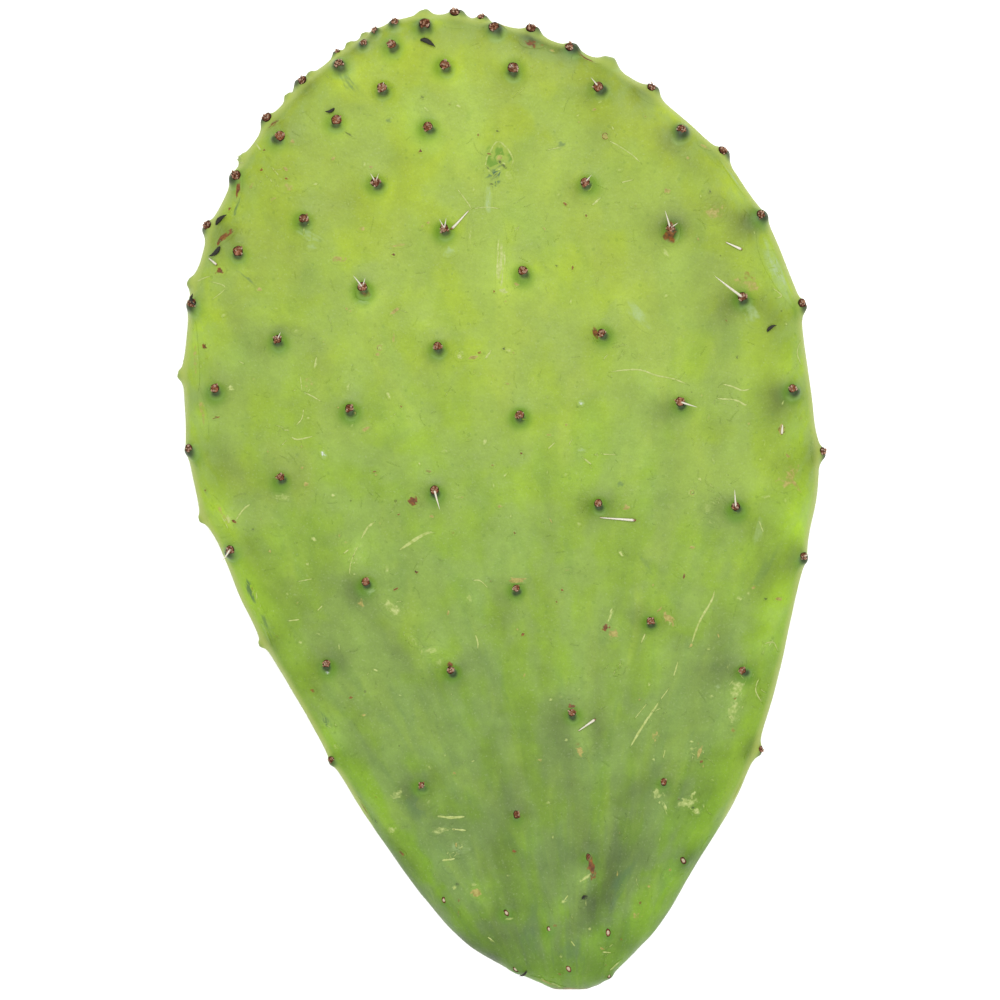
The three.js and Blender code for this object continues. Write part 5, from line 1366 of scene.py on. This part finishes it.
class Shader:
    """A material's node graph, built by short calls that return sockets."""

    def __init__(self, name):
        self.material = bpy.data.materials.new(name)
        self.material.use_nodes = True
        self.nodes = self.material.node_tree.nodes
        self.links = self.material.node_tree.links
        self.surface = self.nodes["Principled BSDF"]

    def plug(self, socket, value):
        """Links a socket to another socket, or sets it to a plain value."""
        if isinstance(value, bpy.types.NodeSocket):
            self.links.new(value, socket)
        else:
            socket.default_value = value

    def node(self, kind, **inputs):
        """A new node of a kind, with the inputs that are given plugged in or set."""
        node = self.nodes.new("ShaderNode" + kind)
        for name, value in inputs.items():
            self.plug(node.inputs[name.replace("_", " ")], value)
        return node

    def attribute(self, name):
        """The node that reads a point value of the mesh."""
        node = self.node("Attribute")
        node.attribute_name = name
        return node

    def mask(self, name):
        """A point value of the mesh, as a number."""
        return self.attribute(name).outputs["Fac"]

    def growth(self):
        """Coordinates that follow the growth of the pad: across the fan, along it, and up."""
        return self.attribute("growth").outputs["Vector"]

    def place(self):
        """Place in the object, in metres."""
        return self.node("TexCoord").outputs["Object"]

    def part(self, vector, axis):
        """One axis of a vector."""
        return self.node("SeparateXYZ", Vector=vector).outputs[axis]

    def noise(self, vector, scale, detail=2.0, rough=0.5, twist=0.0):
        """Soft noise from 0 to 1."""
        node = self.node(
            "TexNoise", Vector=vector, Scale=scale, Detail=detail, Roughness=rough, Distortion=twist
        )
        return node.outputs["Fac"]

    def cells(self, vector, scale, output="Distance"):
        """Cell noise: the distance to the nearest cell's middle, or that cell's colour."""
        return self.node("TexVoronoi", Vector=vector, Scale=scale).outputs[output]

    def math(self, operation, first, second):
        """Arithmetic on two values."""
        node = self.node("Math")
        node.operation = operation
        self.plug(node.inputs[0], first)
        self.plug(node.inputs[1], second)
        return node.outputs[0]

    def rise(self, value, low, high, bottom=0.0, top=1.0, curve="SMOOTHSTEP"):
        """A rise from `bottom` to `top` as a value goes from `low` to `high`."""
        node = self.node(
            "MapRange", Value=value, From_Min=low, From_Max=high, To_Min=bottom, To_Max=top
        )
        node.interpolation_type = curve
        return node.outputs["Result"]

    def ramp(self, value, stops):
        """Colour by value through the stops (place, colour)."""
        node = self.node("ValToRGB")
        self.plug(node.inputs[0], value)
        ramp = node.color_ramp
        while len(ramp.elements) < len(stops):
            ramp.elements.new(0.5)
        for element, (place, colour) in zip(ramp.elements, stops):
            element.position = place
            element.color = tone(*colour)
        return node.outputs["Color"]

    def grainy(self, grain, dark, light):
        """A colour that varies with the grain, from a dark one to a light one."""
        return self.ramp(grain, [(0.3, dark), (0.7, light)])

    def mix(self, factor, first, second):
        """A blend of two colours; its colour sockets come after those for numbers and vectors."""
        node = self.node("Mix")
        node.data_type = "RGBA"
        self.plug(node.inputs[0], factor)
        self.plug(node.inputs[6], first)
        self.plug(node.inputs[7], second)
        return node.outputs[2]

    def tinted(self, factor, colour, tint):
        """A colour blended with a plain tint."""
        return self.mix(factor, colour, tone(*tint))

    def scale(self, colour, factor):
        """A colour made lighter or darker by a factor."""
        node = self.node("VectorMath")
        node.operation = "SCALE"
        self.plug(node.inputs["Vector"], colour)
        self.plug(node.inputs["Scale"], factor)
        return node.outputs["Vector"]

    def bump(self, height, distance, strength, below=None):
        """A bump normal from a height."""
        node = self.node("Bump", Height=height, Distance=distance, Strength=strength)
        if below is not None:
            self.plug(node.inputs["Normal"], below)
        return node.outputs["Normal"]

    def finish(self, colour, roughness, normal=None, **settings):
        """Feeds the surface shader; returns the material."""
        self.plug(self.surface.inputs["Base Color"], colour)
        self.plug(self.surface.inputs["Roughness"], roughness)
        if normal is not None:
            self.plug(self.surface.inputs["Normal"], normal)
        for key, value in settings.items():
            self.surface.inputs[key.replace("_", " ")].default_value = value
        return self.material


# Colours of the skin by place from the base (0) to the tip (1).
CLEAN_SKIN = [
    (0.0, (116, 154, 56)), (0.16, (124, 160, 56)), (0.32, (136, 170, 58)),
    (0.5, (150, 183, 60)), (0.72, (166, 192, 62)), (1.0, (170, 190, 60)),
]
WAXY_SKIN = [
    (0.0, (117, 147, 78)), (0.12, (124, 153, 79)), (0.28, (137, 167, 81)),
    (0.5, (150, 179, 81)), (0.72, (163, 188, 80)), (1.0, (164, 188, 75)),
]
DEEP_SKIN = [
    (0.0, (90, 122, 76)), (0.3, (112, 146, 78)), (0.6, (134, 168, 76)), (1.0, (150, 180, 66)),
]
GLOWING_SKIN = [
    (0.0, (132, 164, 68)), (0.3, (154, 184, 72)), (0.6, (178, 201, 78)), (1.0, (188, 208, 74)),
]


def way_to_tip(shader, place):
    """Place from the base (0) to the tip (1), wandering a little from patch to patch."""
    straight = shader.rise(shader.part(place, "Y"), -0.15, 0.15, curve="LINEAR")
    wander = shader.rise(shader.noise(place, 30), 0.2, 0.8, -0.08, 0.08)
    return shader.math("ADD", straight, wander)


def streaky_colour(shader, place, growth, tipward):
    """Clean and waxy streaks, with darker blotches and yellower patches over them."""
    streaks = shader.math("MULTIPLY", shader.noise(growth, 0.14, twist=0.3), 0.55)
    patches = shader.math("MULTIPLY", shader.noise(place, 70, twist=0.6), 0.45)
    inward = shader.rise(shader.mask("inset"), 4, 24, -0.07, 0.03)
    blend = shader.math("ADD", shader.math("ADD", streaks, patches), inward)
    waxy = shader.rise(blend, 0.42, 0.57)
    colour = shader.mix(waxy, shader.ramp(tipward, CLEAN_SKIN), shader.ramp(tipward, WAXY_SKIN))
    deep = shader.rise(shader.noise(growth, 0.2, twist=0.5), 0.5, 0.72, 0.0, 0.3)
    colour = shader.mix(deep, colour, shader.ramp(tipward, DEEP_SKIN))
    glow = shader.rise(shader.noise(growth, 0.16, twist=0.8), 0.5, 0.72, 0.0, 0.4)
    return shader.mix(glow, colour, shader.ramp(tipward, GLOWING_SKIN))


def unevened(shader, light, vector, size, change):
    """A light made uneven by noise, by at most `change` either way."""
    step = shader.rise(shader.noise(vector, size), 0.3, 0.7, 1 - change, 1 + change)
    return shader.math("MULTIPLY", light, step)


def skin_light(shader, place, growth, tipward):
    """How light the skin is: broad noise, stronger at the base, the painted light and shade that the mesh
    carries, and fine noise.
    """
    light = 1.0
    for vector, size, change in ((growth, 0.18, 0.042), (place, 60, 0.038), (place, 190, 0.028)):
        light = unevened(shader, light, vector, size, change)
    depth = shader.rise(tipward, 0.25, 0.7, 1.7, 0.95)
    light = shader.math("MULTIPLY", shader.math("SUBTRACT", light, 1.0), depth)
    light = shader.math("ADD", shader.math("ADD", light, 1.0), shader.mask("shade"))
    for size, change in ((420, 0.03), (1300, 0.035)):
        light = unevened(shader, light, place, size, change)
    return light


def add_frost(shader, colour, place, growth):
    """Pale wax along the margin of the pad's upper part."""
    margin = shader.rise(shader.mask("inset"), 14, 3, 0.0, 0.4)
    upper = shader.rise(shader.part(place, "Y"), -0.05, 0.02)
    uneven = shader.rise(shader.noise(growth, 0.6, 3), 0.35, 0.65)
    frost = shader.math("MULTIPLY", shader.math("MULTIPLY", margin, upper), uneven)
    return shader.tinted(frost, colour, (158, 184, 116))


def chosen_spots(shader, place, scale, axis, least, radius):
    """1 in round spots of up to a radius, in the cells whose random draw is above `least`."""
    pick = shader.part(shader.cells(place, scale, "Color"), axis)
    reach = shader.rise(pick, least, 1.0, 0.0, radius)
    return shader.math("LESS_THAN", shader.cells(place, scale), reach)


def add_fine_spots(shader, colour, place):
    """Pores, darker specks and faint pale dust."""
    pores = chosen_spots(shader, place, 420, "X", 0.62, 0.24)
    colour = shader.tinted(shader.math("MULTIPLY", pores, 0.2), colour, (100, 138, 52))
    specks = chosen_spots(shader, place, 120, "Y", 0.86, 0.07)
    colour = shader.tinted(shader.math("MULTIPLY", specks, 0.5), colour, (92, 98, 46))
    dust = shader.rise(shader.noise(place, 1400, 2, 0.6), 0.56, 0.8, 0.0, 0.2)
    return shader.tinted(dust, colour, (206, 220, 170))


def add_green_shade_and_rim_light(shader, colour):
    """Painted shade in darker green round every knob, the healed scar's dark green, and painted light along
    the rim.
    """
    # painted shade: darker green round every knob; the same mask paints the healed scar's dark green
    flat = shader.math("SUBTRACT", 1.0, shader.mask("slate"))
    halo = shader.math("MULTIPLY", shader.rise(shader.mask("halo"), 0.12, 0.75, 0.0, 0.8), flat)
    colour = shader.tinted(halo, colour, (112, 158, 42))
    # painted light: a pale band along the rim
    edge = shader.rise(shader.mask("inset"), 2.2, 0.3, 0.0, 0.75)
    return shader.tinted(edge, colour, (196, 212, 104))


def mottled(shader, name, grain, full=0.65):
    """A mark's mask broken up by the grain, so that a weak mark covers the skin in patches."""
    mask = shader.mask(name)
    uneven = shader.math("ADD", mask, shader.math("SUBTRACT", grain, 0.5))
    return shader.math("MULTIPLY", shader.rise(uneven, 0.25, full), shader.rise(mask, 0.0, 0.3))


def add_wax_and_stains(shader, colour, grain):
    """Grey-green stains, and patches of pale wax that are chalky where they are strong."""
    colour = shader.tinted(shader.mask("stain"), colour, (86, 118, 84))
    bloom = shader.math("MULTIPLY", shader.mask("bloom"), shader.rise(grain, 0.3, 0.6, 0.5, 1.0))
    chalk = shader.ramp(shader.mask("bloom"), [(0.7, (182, 207, 146)), (1.0, (230, 238, 230))])
    return shader.mix(bloom, colour, chalk)


def add_highlight_ring_and_knob_shade(shader, colour):
    """The painted highlight ring beside every knob, and the dark grey-green colour with painted shade on
    the knob.
    """
    # painted highlight: a pale ring beside the knob
    ring = shader.math("MULTIPLY", shader.mask("ring"), 0.42)
    colour = shader.tinted(ring, colour, (170, 204, 128))
    # dark grey-green colour of the knob with painted shade over it
    slate = shader.ramp(shader.mask("slate"), [
        (0.2, (98, 142, 76)), (0.6, (76, 110, 68)), (0.95, (54, 72, 50)),
    ])
    return shader.mix(shader.math("MULTIPLY", shader.mask("slate"), 0.9), colour, slate)


def add_scars(shader, colour, grain):
    """Pale, tan and rusty scars, dark specks, and the cork of the base."""
    for name, full, dark, light in (
        ("pale", 1.0, (176, 194, 98), (212, 222, 144)),
        ("tan", 0.65, (152, 142, 68), (198, 188, 108)),
        ("rust", 0.85, (84, 52, 26), (164, 108, 52)),
    ):
        cover = mottled(shader, name, grain, full)
        colour = shader.mix(cover, colour, shader.grainy(grain, dark, light))
    colour = shader.tinted(shader.mask("dark"), colour, (48, 44, 26))
    cork = shader.grainy(grain, (120, 92, 58), (190, 164, 112))
    return shader.mix(shader.mask("cork"), colour, cork)


def make_skin_material():
    """Waxy green skin of the pad, with all its marks."""
    shader = Shader("cactus_skin")
    place = shader.place()
    growth = shader.growth()
    tipward = way_to_tip(shader, place)
    colour = streaky_colour(shader, place, growth, tipward)
    colour = shader.scale(colour, skin_light(shader, place, growth, tipward))
    colour = add_frost(shader, colour, place, growth)
    colour = add_fine_spots(shader, colour, place)
    grain = shader.noise(place, 900, 3, 0.6)
    colour = add_green_shade_and_rim_light(shader, colour)
    colour = add_wax_and_stains(shader, colour, grain)
    colour = add_highlight_ring_and_knob_shade(shader, colour)
    colour = add_scars(shader, colour, grain)
    normal = shader.bump(shader.noise(place, 260, 3, 0.55), 0.0006, 0.5)
    normal = shader.bump(shader.noise(place, 1500, 3, 0.6), 0.00014, 0.6, normal)
    roughness = shader.rise(shader.noise(place, 60, 3), 0.3, 0.7, 0.44, 0.6)
    return shader.finish(colour, roughness, normal, Specular_IOR_Level=0.25)


def make_felt_material():
    """Reddish-brown felt with pink hairs and a dark edge, bleached on the oldest areoles."""
    shader = Shader("areole_felt")
    grain = shader.noise(shader.place(), 2600, 3, 0.7)
    young = shader.ramp(grain, [
        (0.3, (96, 60, 42)), (0.5, (144, 92, 66)), (0.7, (198, 146, 114)),
    ])
    pink = shader.rise(shader.mask("lump"), 0.1, 0.8, 0.0, 0.6)
    young = shader.tinted(pink, young, (210, 154, 128))
    young = shader.scale(young, shader.rise(shader.mask("tint"), 0.0, 0.7, 0.55, 1.05))
    old = shader.grainy(grain, (198, 176, 142), (242, 232, 206))
    colour = shader.mix(shader.rise(shader.mask("old"), 0.9, 1.0), young, old)
    edge = shader.rise(shader.mask("core"), 0.26, 0.04)
    colour = shader.tinted(edge, colour, (58, 34, 30))
    return shader.finish(colour, 0.9, shader.bump(grain, 0.0004, 0.8), Specular_IOR_Level=0.1)


def make_spine_material():
    """Bone-white spine with a brown root and tip."""
    shader = Shader("spine_bone")
    grain = shader.noise(shader.place(), 1800)
    white = shader.grainy(grain, (236, 226, 194), (255, 252, 236))
    root = shader.rise(shader.mask("along"), 0.12, 0.02)
    colour = shader.tinted(root, white, (142, 78, 52))
    tip = shader.rise(shader.mask("along"), 0.9, 1.0, 0.0, 0.6)
    colour = shader.tinted(tip, colour, (196, 150, 96))
    return shader.finish(colour, 0.38, shader.bump(grain, 0.0001, 0.5), Specular_IOR_Level=0.4)


def make_glochid_material():
    """Glochids from reddish brown to pink, darker at their roots."""
    shader = Shader("glochid_hair")
    tuft = shader.ramp(shader.mask("tint"), [
        (0.0, (156, 100, 70)), (0.4, (214, 162, 128)), (1.0, (242, 214, 188)),
    ])
    root = shader.rise(shader.mask("along"), 0.6, 0.0)
    colour = shader.tinted(root, tuft, (104, 54, 46))
    return shader.finish(colour, 0.5, Specular_IOR_Level=0.2)


def make_leaf_material():
    """Dark, dry remains of small leaves."""
    shader = Shader("dry_leaf")
    grain = shader.noise(shader.place(), 1500, 3, 0.6)
    colour = shader.grainy(grain, (28, 30, 26), (66, 62, 48))
    return shader.finish(colour, 0.7, shader.bump(grain, 0.0003, 0.8), Specular_IOR_Level=0.3)


# ---- Stage ------------------------------------------------------------------------------


def make_floor():
    """A plain pale floor."""
    shader = Shader("pale_floor")
    material = shader.finish((0.9, 0.9, 0.9, 1), 0.9, Specular_IOR_Level=0.0)
    mesh = bpy.data.meshes.new("floor")
    mesh.from_pydata([(-3, -3, 0), (3, -3, 0), (3, 3, 0), (-3, 3, 0)], [], [(0, 1, 2, 3)])
    mesh.materials.append(material)
    floor = bpy.data.objects.new("floor", mesh)
    bpy.context.scene.collection.objects.link(floor)


def make_area_light(name, place, size, power):
    """A soft square light that faces the pad."""
    light = bpy.data.lights.new(name, "AREA")
    light.size = size
    light.energy = power
    lamp = bpy.data.objects.new(name, light)
    lamp.location = place
    lamp.rotation_mode = "QUATERNION"
    toward = -lamp.location
    lamp.rotation_quaternion = toward.to_track_quat("-Z", "Y")
    bpy.context.scene.collection.objects.link(lamp)


def make_light():
    """Soft white light from all round, a lamp beyond the tip and a weaker one at the base."""
    world = bpy.data.worlds.new("studio")
    world.use_nodes = True
    background = world.node_tree.nodes["Background"]
    background.inputs["Color"].default_value = (1, 1, 1, 1)
    background.inputs["Strength"].default_value = WORLD_STRENGTH
    bpy.context.scene.world = world
    make_area_light("key", (0.1, 0.9, 1.5), 1.3, KEY_POWER)
    make_area_light("fill", (0.0, -0.9, 1.3), 1.4, FILL_POWER)


def make_camera():
    """A long lens that looks straight down on the pad."""
    data = bpy.data.cameras.new("camera")
    data.sensor_width = 36
    data.lens = data.sensor_width * CAMERA_DISTANCE / VIEW_WIDTH
    camera = bpy.data.objects.new("camera", data)
    camera.location = (0, 0, CAMERA_DISTANCE + VIEW_HEIGHT)
    bpy.context.scene.collection.objects.link(camera)
    bpy.context.scene.camera = camera


def make_view():
    """Plain colours, with no film look."""
    bpy.context.scene.view_settings.view_transform = "Standard"


make_view()
make_camera()
make_light()
make_floor()
skin_material = make_skin_material()
make_skin(skin_material)
make_knobs(skin_material)
make_marks(skin_material)
make_flecks(skin_material)
make_scratches(skin_material)
make_felt(make_felt_material())
make_glochids(make_glochid_material())
spine_material = make_spine_material()
make_spines(spine_material)
make_fallen_spines(spine_material)
make_leaf_remains(make_leaf_material())

bpy.context.view_layer.update()
